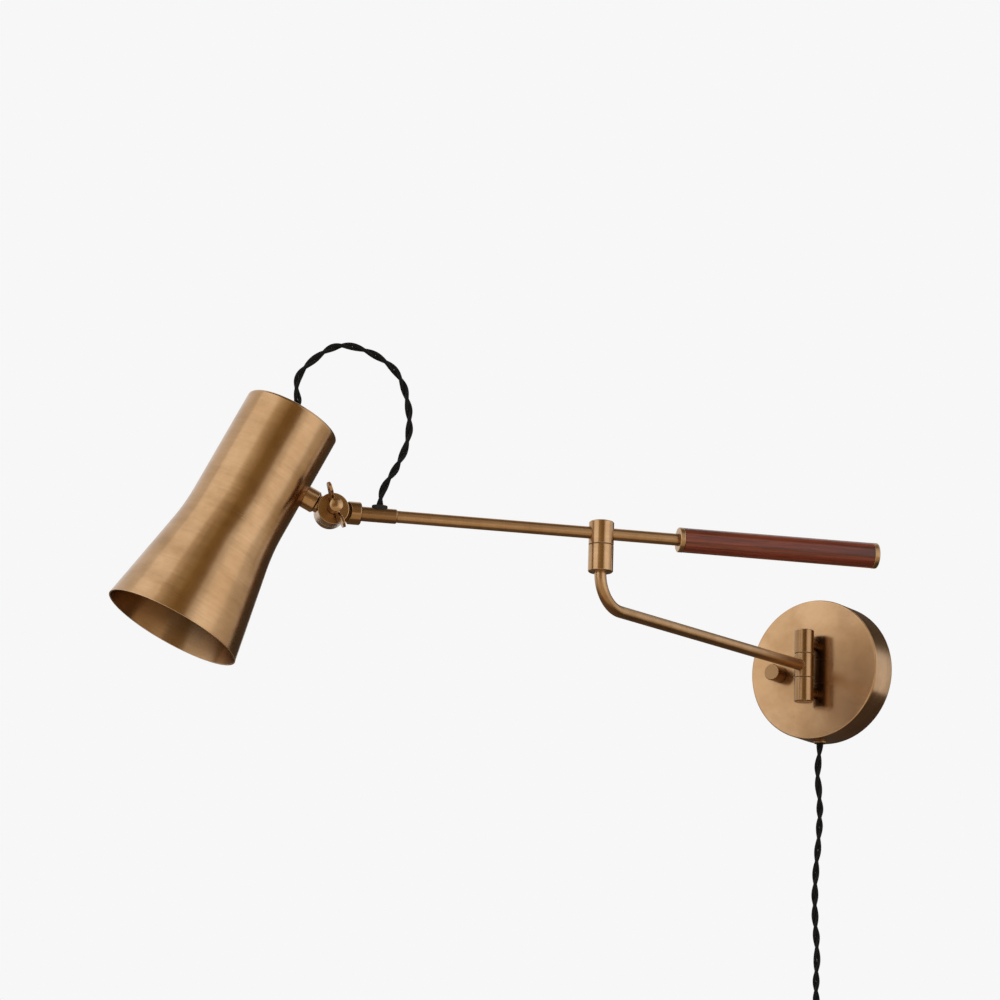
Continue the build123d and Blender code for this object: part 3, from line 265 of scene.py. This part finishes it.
def make_floor():
    mesh = bpy.data.meshes.new("floor")
    level, reach = cad_box[0][2] - FLOOR_BELOW, FLOOR_REACH
    corners = [(-reach, -reach, level), (reach, -reach, level), (reach, reach, level), (-reach, reach, level)]
    mesh.from_pydata(corners, [], [(0, 1, 2, 3)])
    floor = bpy.data.objects.new("floor", mesh)
    bpy.context.scene.collection.objects.link(floor)
    mesh.materials.append(paper_floor())


STUDIO_MIDDLE = Vector((-0.1, -0.32, 0.02))
# level directions from the middle of the studio
TO_CAMERA = Vector((0.558, -0.83, 0))
CAMERA_RIGHT = Vector((0.83, 0.558, 0))


def studio_place(azimuth, elevation, distance):
    """A place round the object: azimuth from the camera towards its right, in degrees."""
    a, e = math.radians(azimuth), math.radians(elevation)
    level = TO_CAMERA * math.cos(a) + CAMERA_RIGHT * math.sin(a)
    return STUDIO_MIDDLE + (level * math.cos(e) + UP * math.sin(e)) * distance


def aim(place):
    """Stands something at a place and faces it to the middle of the studio."""
    turn = (STUDIO_MIDDLE - place).to_track_quat("-Z", "Y").to_matrix().to_4x4()
    return Matrix.Translation(place) @ turn


def softbox(name, azimuth, elevation, distance, size, brightness):
    """A lamp behind a diffuser, its power worked out from how bright its surface is."""
    lamp = bpy.data.lights.new(name, "AREA")
    lamp.shape = "RECTANGLE"
    lamp.size, lamp.size_y = size
    lamp.energy = brightness * math.pi * size[0] * size[1]
    holder = bpy.data.objects.new(name, lamp)
    holder.matrix_world = aim(studio_place(azimuth, elevation, distance))
    holder.visible_camera = False
    bpy.context.scene.collection.objects.link(holder)


def board(name, azimuth, elevation, distance, size, left, right=None, aside=(0, 0)):
    """A graduated board that only reflections see, as a studio puts up to shape the gleam of metal.

    Left and right are as seen from behind the board, looking at the sconce. aside moves it to the right and up.
    """
    material, tree = bare_material(name)
    x, y = size[0] / 2, size[1] / 2
    across = add(tree, "ShaderNodeAttribute", attribute_name="across").outputs["Fac"]
    tone = blend_colours(tree, across, (*left, 1), (*(right or left), 1))
    glow = add(tree, "ShaderNodeEmission", {"Color": tone})
    add(tree, "ShaderNodeOutputMaterial", {"Surface": glow.outputs[0]})
    mesh = bpy.data.meshes.new(name)
    mesh.from_pydata([(-x, -y, 0), (x, -y, 0), (x, y, 0), (-x, y, 0)], [], [(0, 1, 2, 3)])
    mesh.attributes.new("across", "FLOAT", "POINT").data.foreach_set("value", (0.0, 1.0, 1.0, 0.0))
    mesh.transform(Matrix.Translation((*aside, 0)))
    mesh.transform(aim(studio_place(azimuth, elevation, distance)))
    mesh.materials.append(material)
    card = bpy.data.objects.new(name, mesh)
    card.visible_camera = False
    card.visible_diffuse = False
    card.visible_shadow = False
    card.visible_transmission = False
    bpy.context.scene.collection.objects.link(card)


UNDERNEATH = (0, -89, 0.51)  # the azimuth, elevation and distance of the boards that lie under the sconce


def make_studio():
    make_world()
    make_floor()
    softbox("key_light", -52, 31, 2.2, (2.2, 2.5), 0.41)
    softbox("side_light", 57, 5, 2.2, (1.5, 1.6), 0.46)
    # azimuth, elevation, distance, width and height, and the colour at the left and at the right
    board("board_behind_camera", 0, 12, 2.3, (2.25, 4.4), (0.42, 0.31, 0.14), (0.23, 0.145, 0.05))
    board("board_left_of_camera", -14, 30, 2.25, (1.0, 0.9), (0.88, 0.80, 0.64), (0.42, 0.32, 0.17))
    board("board_low_front", 18, -13, 1.6, (0.7, 0.45), (1.0, 0.86, 0.67))
    board("board_gap", -88, 10, 2.25, (0.3, 1.2), (0.68, 0.56, 0.38))
    board("board_low_right", 96, -11, 1.2, (0.8, 0.36), (0.74, 0.64, 0.48), (0.60, 0.50, 0.35))
    board("board_right_behind", 150, 2, 2.3, (2.2, 3.4), (0.09, 0.07, 0.045), (0.08, 0.06, 0.045))
    board("board_low_behind", 178, -14, 1.2, (1.6, 0.44), (0.07, 0.055, 0.04))
    board("board_low_left", -150, -14, 1.2, (1.5, 0.5), (0.15, 0.11, 0.07))
    board("board_above", 20, 82, 2.2, (2.4, 2.4), (0.18, 0.13, 0.07))
    board(
        "board_below", *UNDERNEATH, (2.4, 1.8), (0.35, 0.26, 0.17), (0.07, 0.05, 0.04), aside=(-0.45, -0.65)
    )
    board("board_below_right", *UNDERNEATH, (2.0, 2.7), (0.08, 0.06, 0.045), aside=(1.75, -1.1))
    board(
        "board_floor_front", *UNDERNEATH, (2.6, 1.4), (0.85, 0.7, 0.5), (0.55, 0.44, 0.3), aside=(0.1, 0.95)
    )


make_camera()
make_studio()


# ---------------------------------------------------------------- finishes
BRASS_LIGHT = rgb(194, 158, 120)
BRASS_MID = rgb(178, 141, 102)
BRASS_PATINA = rgb(122, 88, 54)
# the colour of edges: partly rubbed wear, partly a painted highlight
BRASS_RUBBED_AND_HIGHLIT = rgb(236, 208, 172)
# the colour of corners and hollows: painted shade, with some real tarnish
BRASS_TARNISH_AND_SHADE = rgb(72, 48, 26)
LINE_SHADE, STROKE_SHADE = 0.13, 0.08  # how far the patina darkens fine lines and broad strokes
# how far the painted shade in corners, partly tarnish, darkens the brass
CORNER_SHADE = 0.85
CORNER_SAMPLES = 8
RUBBED_ROUGHNESS = 0.22  # what a rubbed edge adds
BRUSH_STRENGTH, BRUSH_DEPTH = 0.012, 0.0002


def brass(
    name,
    axis,
    origin,
    brushing=1300,
    roughness=0.24,
    patina=0.32,
    gleam=0.7,
    wear=0.0006,
    age_and_shade=0.0,
    hollow=0.004,
):
    """Antiqued brass, brushed round an axis: fine lines, cloudy patina, corners darkened by painted shade and some
    tarnish, and edges lightened by wear and a painted highlight.

    brushing is lines to the metre, and gleam how far they stretch the highlights. patina is how far the smears
    have darkened. wear is the width of a rubbed edge, lightened partly as a painted highlight. The argument after
    it is how
    far the whole has darkened: patina, and on the sleeve, hinge and rear knuckle painted shade. hollow is the
    reach of the dark in corners, which is painted shade and partly tarnish.
    """
    material, tree, shader = new_finish(name)
    place = piece_space(tree, axis, origin)
    cloud = noise(tree, place, (26, 26, 26), 4.0, 0.6)
    smears = noise(tree, place, (24, 24, 60), 4.0, 0.6)
    lines = noise(tree, place, (18, 18, brushing), 2.0, 0.7)
    strokes = noise(tree, place, (30, 30, brushing / 4), 2.0, 0.6)
    tone = blend_colours(tree, remap(tree, cloud, 0.36, 0.64), BRASS_MID, BRASS_LIGHT)
    stain = calculate(tree, "MULTIPLY", remap(tree, smears, 0.48, 0.78), patina)
    # The whole darkens towards patina: real age, and on the sleeve, hinge and rear knuckle painted shade.
    tone = blend_colours(tree, calculate(tree, "MAXIMUM", stain, age_and_shade), tone, BRASS_PATINA)
    tone = blend_colours(tree, remap(tree, lines, 0.25, 0.75, 0.0, LINE_SHADE), tone, BRASS_PATINA)
    tone = blend_colours(tree, remap(tree, strokes, 0.35, 0.7, 0.0, STROKE_SHADE), tone, BRASS_PATINA)
    rounded = None
    if wear:
        # Painted shade, partly tarnish: the brass darkens near walls and in hollows, within the given reach.
        corner = add(tree, "ShaderNodeAmbientOcclusion", {"Distance": hollow}, samples=CORNER_SAMPLES)
        dark = remap(tree, corner.outputs["AO"], 0.75, 0.2, 0.0, CORNER_SHADE)
        tone = blend_colours(tree, dark, tone, BRASS_TARNISH_AND_SHADE)
        # Edges lighten: partly rubbed wear, partly a painted highlight.
        rounded, rubbed_and_highlit = rounded_edges(tree, wear)
        tone = blend_colours(tree, rubbed_and_highlit, tone, BRASS_RUBBED_AND_HIGHLIT)
    uneven = calculate(tree, "ADD", lines, smears)
    rough = remap(tree, uneven, 0.6, 1.4, roughness - 0.03, roughness + 0.04)
    if wear:
        rough = calculate(tree, "ADD", rough, calculate(tree, "MULTIPLY", rubbed_and_highlit, RUBBED_ROUGHNESS))
    plug(tree, shader, {"Base Color": tone, "Metallic": 1, "Roughness": rough})
    plug(tree, shader, {"Anisotropic": gleam, "Tangent": along_axis(tree, axis)})
    emboss(tree, shader, lines, BRUSH_STRENGTH, BRUSH_DEPTH, rounded)
    return material


def zinc_steel():
    """Zinc-plated steel, faintly spangled."""
    material, tree, shader = new_finish("zinc_steel")
    place = piece_space(tree, UP, (0, 0, 0))
    spangle = noise(tree, place, (220, 220, 220), 2.0)
    tone = blend_colours(tree, spangle, rgb(168, 170, 172), rgb(205, 206, 205))
    rough = remap(tree, spangle, 0.3, 0.7, 0.32, 0.5)
    plug(tree, shader, {"Base Color": tone, "Metallic": 1, "Roughness": rough})
    return material


def moulded(name, dark, light, roughness):
    """Moulded plastic or rubber with a faint grain."""
    material, tree, shader = new_finish(name)
    place = piece_space(tree, UP, (0, 0, 0))
    grain = noise(tree, place, (1400, 1400, 1400), 2.0)
    handled = noise(tree, place, (60, 60, 60), 3.0)
    tone = blend_colours(tree, handled, dark, light)
    rough = remap(tree, handled, 0.3, 0.7, roughness - 0.05, roughness + 0.08)
    plug(tree, shader, {"Base Color": tone, "Roughness": rough})
    emboss(tree, shader, grain, 0.15, 0.0001)
    return material


def stained_wood():
    """Red-brown mahogany with its grain along the handle."""
    material, tree, shader = new_finish("stained_wood")
    low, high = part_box("handle")
    place = piece_space(tree, rod_out, (low + high) / 2)
    figure = noise(tree, place, (230, 230, 9), 5.0, 0.62)
    bands = noise(tree, place, (95, 95, 4), 3.0, 0.5)
    pores = noise(tree, place, (1500, 1500, 60), 2.0, 0.5)
    tone = blend_colours(tree, remap(tree, bands, 0.35, 0.65), rgb(86, 25, 8), rgb(146, 60, 25))
    tone = blend_colours(tree, remap(tree, figure, 0.44, 0.62, 0.0, 0.85), tone, rgb(62, 17, 6))
    tone = blend_colours(tree, remap(tree, pores, 0.6, 0.72, 0.0, 0.7), tone, rgb(38, 14, 9))
    rough = remap(tree, figure, 0.3, 0.7, 0.26, 0.42)
    plug(tree, shader, {"Base Color": tone, "Roughness": rough, "Specular IOR Level": 0.25})
    plug(tree, shader, {"Coat Weight": 0.5, "Coat IOR": 1.6, "Coat Roughness": 0.16})
    emboss(tree, shader, pores, 0.25, 0.0002)
    return material


BRAID_THREADS = 16  # round a strand, half of them each way
BRAID_LENGTH = 0.0042  # along the strand, for four crossings


def black_cloth():
    """Braided cotton: two families of threads cross over each strand, read from its own weave map."""
    material, tree, shader = new_finish("black_cloth")
    weave = add(tree, "ShaderNodeAttribute", attribute_name="weave").outputs["Vector"]
    parts = add(tree, "ShaderNodeSeparateXYZ", {0: weave}).outputs
    turn = calculate(tree, "ARCTAN2", parts[1], parts[0])
    round_it = calculate(tree, "MULTIPLY", turn, BRAID_THREADS / 2)
    down_it = calculate(tree, "MULTIPLY", parts[2], 2 * math.pi / BRAID_LENGTH * BRAID_THREADS / 8)
    left = calculate(tree, "SINE", calculate(tree, "ADD", round_it, down_it))
    right = calculate(tree, "SINE", calculate(tree, "SUBTRACT", round_it, down_it))
    threads = calculate(tree, "MULTIPLY", left, right)
    tone = blend_colours(tree, remap(tree, threads, -1, 1), rgb(3, 3, 3), rgb(15, 15, 15))
    plug(tree, shader, {"Base Color": tone, "Roughness": 0.75, "Specular IOR Level": 0.25})
    plug(tree, shader, {"Sheen Weight": 0.04, "Sheen Roughness": 0.4})
    emboss(tree, shader, threads, 0.6, 0.0003)
    return material


def cover(finish, *nodes):
    """Gives CAD nodes one finish, in place of the one they came with."""
    for node in nodes:
        slots = frame["nodes"][node].data.materials
        slots.clear()
        slots.append(finish)


def finish_frame():
    upright = brass("aged_brass_upright", UP, elbow)
    cover(upright, "elbow_socket", "elbow_collar", "elbow_pivot", "pivot_nut")
    # The hinge's extra darkening over the upright is painted shade, and its longer corner reach paints shade round
    # it.
    barrel = brass("aged_brass_hinge", UP, hinge, age_and_shade=0.45, hollow=0.03)
    cover(barrel, "upper_knuckle", "lower_knuckle", "arm_knuckle", "hinge_pin", "pin_screw")
    outward, plate_middle = Vector((0, -1, 0)), (0, 0, 0)
    # The plate's longer corner reach paints shade round the hinge and the knob.
    plate_look = {"roughness": 0.19, "patina": 0.4, "gleam": 0.0, "wear": 0.0011, "hollow": 0.03}
    plate = brass("aged_brass_plate", outward, plate_middle, brushing=300, **plate_look)
    cover(plate, "wall_plate")
    # The knob's longer corner reach paints shade at its foot.
    knob_look = {"age_and_shade": 0.6, "gleam": 0.0, "hollow": 0.015}
    knob = brass("aged_brass_knob", outward, plate_middle, brushing=600, **knob_look)
    cover(knob, "dimmer_knob", "hinge_posts")
    cover(brass("aged_brass_arm", arm_out, hinge, roughness=0.3, gleam=0.0), "lower_arm")
    rod = brass("aged_brass_rod", rod_out, rod_middle, roughness=0.32, gleam=0.0)
    cover(rod, "rod", "handle_ferrule", "handle_cap")
    # The sleeve's extra darkening over the rod's finish is painted shade.
    sleeve = brass("aged_brass_sleeve", rod_out, rod_middle, roughness=0.32, gleam=0.0, age_and_shade=0.6)
    cover(sleeve, "rod_sleeve")
    # The shade's long corner reach paints shade on its inside, with some tarnish.
    cover(brass("aged_brass_shade", shade_up, shade_top, hollow=0.12), "shade", "shade_bush")
    joint = brass("aged_brass_knuckle", knuckle_axis, knuckle, gleam=0.0, patina=0.6, age_and_shade=0.12)
    cover(joint, "knuckle_front", "wing_screw")
    # The rear half's extra darkening over the front half is painted shade.
    rear = brass("aged_brass_rear", knuckle_axis, knuckle, gleam=0.0, patina=0.6, age_and_shade=0.3, wear=0.0004)
    cover(rear, "knuckle_rear")
    side = brass("aged_brass_fittings", (1, 0, 0), plate_middle)
    cover(side, "canopy_screw", "collar_screw")
    cord_exit = (0, -0.015, 0)
    dark = brass("dark_brass_fittings", UP, cord_exit, gleam=0.0, age_and_shade=0.85)
    cover(dark, "cord_gland", "gland_nut", "hinge_washers", "elbow_washer")
    lampholder = brass("socket_brass", shade_up, socket_middle, wear=0)
    cover(lampholder, "socket_cap", "screw_shell", "centre_contact", "contact_screws", "socket_nipple")
    steel = zinc_steel()
    cover(steel, "wall_bracket", "post_nuts", "dimmer_nut", "dimmer_shaft", "terminal_screws")
    cover(steel, "nipple_nut", "stub_screw", "plug_blades")
    cover(stained_wood(), "handle")
    rubber = moulded("black_rubber", rgb(7, 7, 7), rgb(15, 15, 15), 0.7)
    cover(rubber, "cord_grip", "cord_grommet", "coil_tie", "friction_washer", "knuckle_washer")
    cover(moulded("black_plastic", rgb(16, 16, 17), rgb(28, 28, 29), 0.45), "plug_body", "dimmer_body")
    white = moulded("white_plastic", rgb(225, 222, 214), rgb(238, 236, 230), 0.5)
    cover(white, "terminal_block", "socket_body")


finish_frame()


# ---------------------------------------------------------------- geometry node helpers
def evaluated_mesh(holder):
    """What an object comes out as, as a mesh of its own."""
    return bpy.data.meshes.new_from_object(holder.evaluated_get(bpy.context.evaluated_depsgraph_get()))


def made_by(tree, name, mesh, sizes):
    """Runs a node tree on a mesh and keeps the result as a plain mesh."""
    holder = bpy.data.objects.new(name, mesh)
    bpy.context.scene.collection.objects.link(holder)
    modifier = holder.modifiers.new(tree.name, "NODES")
    modifier.node_group = tree
    for item in tree.interface.items_tree:
        if item.item_type == "SOCKET" and item.in_out == "INPUT" and item.name in sizes:
            modifier[item.identifier] = sizes[item.name]
    made = evaluated_mesh(holder)
    holder.modifiers.clear()
    holder.data = made
    made.name = name
    return holder


def new_tree(name, inputs):
    """A geometry node tree with a geometry input and the named sizes."""
    tree = bpy.data.node_groups.new(name, "GeometryNodeTree")
    tree.interface.new_socket("Geometry", in_out="INPUT", socket_type="NodeSocketGeometry")
    for label, kind in inputs:
        tree.interface.new_socket(label, in_out="INPUT", socket_type=kind)
    tree.interface.new_socket("Geometry", in_out="OUTPUT", socket_type="NodeSocketGeometry")
    return tree, tree.nodes.new("NodeGroupInput"), tree.nodes.new("NodeGroupOutput")


def end_tree(tree, geometry, material, output):
    """Shades the geometry smooth, gives it its material and sends it out."""
    smooth = add(tree, "GeometryNodeSetShadeSmooth", {"Geometry": geometry}).outputs[0]
    real = add(tree, "GeometryNodeRealizeInstances", {"Geometry": smooth}).outputs[0]
    coloured = add(tree, "GeometryNodeSetMaterial", {"Geometry": real, "Material": material}).outputs[0]
    tree.links.new(coloured, output.inputs[0])


def kept_on_points(tree, geometry, name, value, kind="FLOAT_VECTOR"):
    """Stores a value on each point under a name."""
    sockets = {"Geometry": geometry, "Name": name, "Value": value}
    return add(tree, "GeometryNodeStoreNamedAttribute", sockets, data_type=kind, domain="POINT").outputs[0]


# ---------------------------------------------------------------- thread of the lampholder
THREAD_PITCH = 0.0036
THREAD_TURNS = 5
THREAD_SUNK = 0.0001  # how far the middle of the bead lies inside the shell's bore
BEAD_RADIUS = THREAD_PITCH / 5
BEAD_SIDES = 8
STEPS_A_TURN = 56


def rolled_thread():
    """A bead that climbs round the inside of the screw shell."""
    sizes = [
        ("Radius", "NodeSocketFloat"),
        ("Pitch", "NodeSocketFloat"),
        ("Turns", "NodeSocketFloat"),
        ("Bead radius", "NodeSocketFloat"),
        ("Brass", "NodeSocketMaterial"),
    ]
    tree, given, output = new_tree("rolled_thread", sizes)
    value = given.outputs
    climb = calculate(tree, "MULTIPLY", value["Pitch"], value["Turns"])
    sockets = {"Resolution": STEPS_A_TURN, "Rotations": value["Turns"], "Height": climb}
    sockets.update({"Start Radius": value["Radius"], "End Radius": value["Radius"]})
    helix = add(tree, "GeometryNodeCurveSpiral", sockets).outputs[0]
    ring_sizes = {"Resolution": BEAD_SIDES, "Radius": value["Bead radius"]}
    ring = add(tree, "GeometryNodeCurvePrimitiveCircle", ring_sizes).outputs[0]
    tube_sockets = {"Curve": helix, "Profile Curve": ring, "Fill Caps": True}
    tube = add(tree, "GeometryNodeCurveToMesh", tube_sockets).outputs[0]
    end_tree(tree, tube, value["Brass"], output)
    return tree


def make_thread():
    """Lays the bead in the shell, whose bore and foot are measured on its own mesh."""
    shell = bpy.data.objects["screw_shell"].data.vertices
    from_top = [vertex.co - shade_top for vertex in shell]
    heights = [offset.dot(shade_up) for offset in from_top]
    bore = min((offset - shade_up * height).length for offset, height in zip(from_top, heights))
    sizes = {
        "Radius": bore - THREAD_SUNK,
        "Pitch": THREAD_PITCH,
        "Turns": float(THREAD_TURNS),
        "Bead radius": BEAD_RADIUS,
        "Brass": bpy.data.materials["socket_brass"],
    }
    thread = made_by(rolled_thread(), "shell_thread", bpy.data.meshes.new("shell_thread"), sizes)
    foot = shade_top + shade_up * (min(heights) + 2 * BEAD_RADIUS)
    turn = UP.rotation_difference(shade_up).to_matrix().to_4x4()
    thread.data.transform(Matrix.Translation(foot) @ turn)
    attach(thread, "lamp_head")


make_thread()


# ---------------------------------------------------------------- twisted cords
CORD_DIAMETER = 0.006
STRAND_RADIUS = CORD_DIAMETER / 4
STRAND_SIDES = 12
ROUTE_STEP = 0.0015
# one full twist of the pair takes this length, and wanders by a share of a turn
SUPPLY_LAY, LOOP_LAY = 0.036, 0.0349
TWIST_WANDER = 0.35
WANDER_PACE = 0.6  # changes for each twist


def twisted_pair():
    """Two cloth-covered strands laid round each other along a route, with a weave map on each."""
    sizes = [
        ("Strand radius", "NodeSocketFloat"),
        ("Lay length", "NodeSocketFloat"),
        ("Unevenness", "NodeSocketFloat"),
        ("Step", "NodeSocketFloat"),
        ("Sides", "NodeSocketInt"),
        ("Cloth", "NodeSocketMaterial"),
    ]
    tree, given, output = new_tree("twisted_pair", sizes)
    value = given.outputs
    route = add(tree, "GeometryNodeMeshToCurve", {0: value["Geometry"]}).outputs[0]
    even = {0: route, "Length": value["Step"]}
    route = add(tree, "GeometryNodeResampleCurve", even, mode="LENGTH").outputs[0]
    along = add(tree, "GeometryNodeSplineParameter").outputs["Length"]
    normal = add(tree, "GeometryNodeInputNormal").outputs[0]
    tangent = add(tree, "GeometryNodeInputTangent").outputs[0]
    across = vector_math(tree, "CROSS_PRODUCT", tangent, normal)
    turns = calculate(tree, "DIVIDE", along, value["Lay length"])
    sockets = {"W": calculate(tree, "MULTIPLY", turns, WANDER_PACE), "Scale": 1.0, "Detail": 1.0}
    wander = add(tree, "ShaderNodeTexNoise", sockets, noise_dimensions="1D").outputs["Fac"]
    turns = calculate(tree, "ADD", turns, calculate(tree, "MULTIPLY", wander, value["Unevenness"]))
    join = tree.nodes.new("GeometryNodeJoinGeometry")
    for start in (0.0, 0.5):
        angle = calculate(tree, "MULTIPLY", calculate(tree, "ADD", turns, start), 2 * math.pi)
        aside = scaled(tree, normal, calculate(tree, "COSINE", angle))
        ahead = scaled(tree, across, calculate(tree, "SINE", angle))
        offset = scaled(tree, vector_math(tree, "ADD", aside, ahead), value["Strand radius"])
        strand = add(tree, "GeometryNodeSetPosition", {"Geometry": route, "Offset": offset}).outputs[0]
        strand = kept_on_points(tree, strand, "strand_length", along, "FLOAT")
        ring_sizes = {"Resolution": value["Sides"], "Radius": value["Strand radius"]}
        ring = add(tree, "GeometryNodeCurvePrimitiveCircle", ring_sizes).outputs[0]
        place = add(tree, "GeometryNodeInputPosition").outputs[0]
        ring = kept_on_points(tree, ring, "ring_place", place)
        tube_sockets = {"Curve": strand, "Profile Curve": ring, "Fill Caps": True}
        tube = add(tree, "GeometryNodeCurveToMesh", tube_sockets).outputs[0]
        tree.links.new(tube, join.inputs[0])
    named = "GeometryNodeInputNamedAttribute"
    ring_place = add(tree, named, {"Name": "ring_place"}, data_type="FLOAT_VECTOR").outputs[0]
    strand_length = add(tree, named, {"Name": "strand_length"}, data_type="FLOAT").outputs[0]
    flat = add(tree, "ShaderNodeSeparateXYZ", {0: ring_place}).outputs
    weave = add(tree, "ShaderNodeCombineXYZ", {0: flat[0], 1: flat[1], 2: strand_length}).outputs[0]
    woven = kept_on_points(tree, join.outputs[0], "weave", weave)
    end_tree(tree, woven, value["Cloth"], output)
    return tree


CURVE_STEPS = 8  # between one control point and the next


def smooth_route(name, points):
    """A smooth line with the route's points as its control points, read back as a fine row of points."""
    curve = bpy.data.curves.new(name, "CURVE")
    curve.dimensions = "3D"
    curve.resolution_u = CURVE_STEPS
    spline = curve.splines.new("NURBS")
    spline.points.add(len(points) - 1)
    for control, point in zip(spline.points, points):
        control.co = (*point, 1)
    spline.order_u = 3
    spline.use_endpoint_u = True
    holder = bpy.data.objects.new(name, curve)
    bpy.context.scene.collection.objects.link(holder)
    line = evaluated_mesh(holder)
    bpy.data.objects.remove(holder)
    return line, [tuple(vertex.co) for vertex in line.vertices]


def lay_pair(tree, name, points, lay, cloth):
    """Lays a twisted pair along a route, and gives back the piece and the line it follows."""
    line, path = smooth_route(name, points)
    sizes = {
        "Strand radius": STRAND_RADIUS,
        "Lay length": lay,
        "Unevenness": TWIST_WANDER,
        "Step": ROUTE_STEP,
        "Sides": STRAND_SIDES,
        "Cloth": cloth,
    }
    return made_by(tree, name, line, sizes), path


# supply cord, down from the gland in the plate's rim
SUPPLY_DOWN = [
    (0.0, -0.015, -0.046),
    (0.0, -0.015, -0.0668),
    (-0.0029, -0.015, -0.087),
    (0.0008, -0.015, -0.113),
    (-0.0002, -0.0154, -0.144),
    (-0.0030, -0.0156, -0.172),
    (-0.0039, -0.015, -0.206),
    (-0.0008, -0.0146, -0.238),
    (-0.0020, -0.015, -0.264),
    (-0.0008, -0.015, -0.293),
]
# below the coil, down into the plug
SUPPLY_TAIL = [
    (0.0, -0.015, -0.351),
    (-0.001, -0.015, -0.379),
    (-0.001, -0.015, -0.4053),
]
COIL_TURNS = 8
MIDDLE_TURN = 4  # the one that the others lie round
POINTS_A_TURN = 14
PACKING = 0.0060  # from one turn to its neighbour
SHIFT_FROM, SHIFT_TO = 60, 150  # degrees of a turn in which it crosses to its next place


def coil_slot(number):
    """Where a turn lies in the bundle: outward and sideways. Seven lie round one."""
    if number == MIDDLE_TURN:
        return 0.0, 0.0
    step = number if number < MIDDLE_TURN else number - 1
    angle = 2 * math.pi * (step + 0.5) / (COIL_TURNS - 1)
    return PACKING * math.cos(angle), -PACKING * math.sin(angle)


def coil_points():
    """Turns that lie a diameter apart; each shifts to its next place at the foot of the coil."""
    low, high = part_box("cord_coil")
    middle = (low + high) / 2
    radius = (high.x - low.x) / 2 - (high.y - low.y) / 2
    spread = 1 / math.cos(math.pi / POINTS_A_TURN)
    points = []
    for count in range(COIL_TURNS * POINTS_A_TURN + 1):
        number = min(count // POINTS_A_TURN, COIL_TURNS - 1)
        degrees = 360 * count / POINTS_A_TURN - 360 * number
        before, here = coil_slot(max(number - 1, 0)), coil_slot(number)
        share = min(max((degrees - SHIFT_FROM) / (SHIFT_TO - SHIFT_FROM), 0), 1)
        outward = before[0] + (here[0] - before[0]) * share
        sideways = before[1] + (here[1] - before[1]) * share
        reach = (radius + outward) * spread
        turn = math.radians(degrees)
        x, z = reach * math.cos(turn), -reach * math.sin(turn)
        points.append((middle.x + x, middle.y + sideways, middle.z + z))
    return points


# loop cord, from the hole in the shade's top over to the grommet on the rod
LOOP_ROUTE = [
    (-0.20067, -0.51056, 0.12838),
    (-0.19671, -0.50646, 0.14006),
    (-0.19887, -0.50869, 0.153),
    (-0.19817, -0.50797, 0.165),
    (-0.18956, -0.49905, 0.1796),
    (-0.17671, -0.48574, 0.1937),
    (-0.15858, -0.46697, 0.1892),
    (-0.14253, -0.45035, 0.1746),
    (-0.13642, -0.44402, 0.1485),
    (-0.13538, -0.44294, 0.122),
    (-0.14128, -0.44906, 0.0985),
    (-0.14892, -0.45697, 0.0805),
    (-0.15031, -0.45841, 0.0692),
    (-0.15031, -0.45841, 0.06185),
]


def make_cords():
    cloth = black_cloth()
    tree = twisted_pair()
    supply_route = SUPPLY_DOWN + coil_points() + SUPPLY_TAIL
    supply, supply_path = lay_pair(tree, "supply_pair", supply_route, SUPPLY_LAY, cloth)
    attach(supply, "wall_base")
    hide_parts("supply_cord", "cord_coil", "plug_tail")
    loop, loop_path = lay_pair(tree, "loop_pair", LOOP_ROUTE, LOOP_LAY, cloth)
    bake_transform(loop)
    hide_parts("loop_cord")


make_cords()
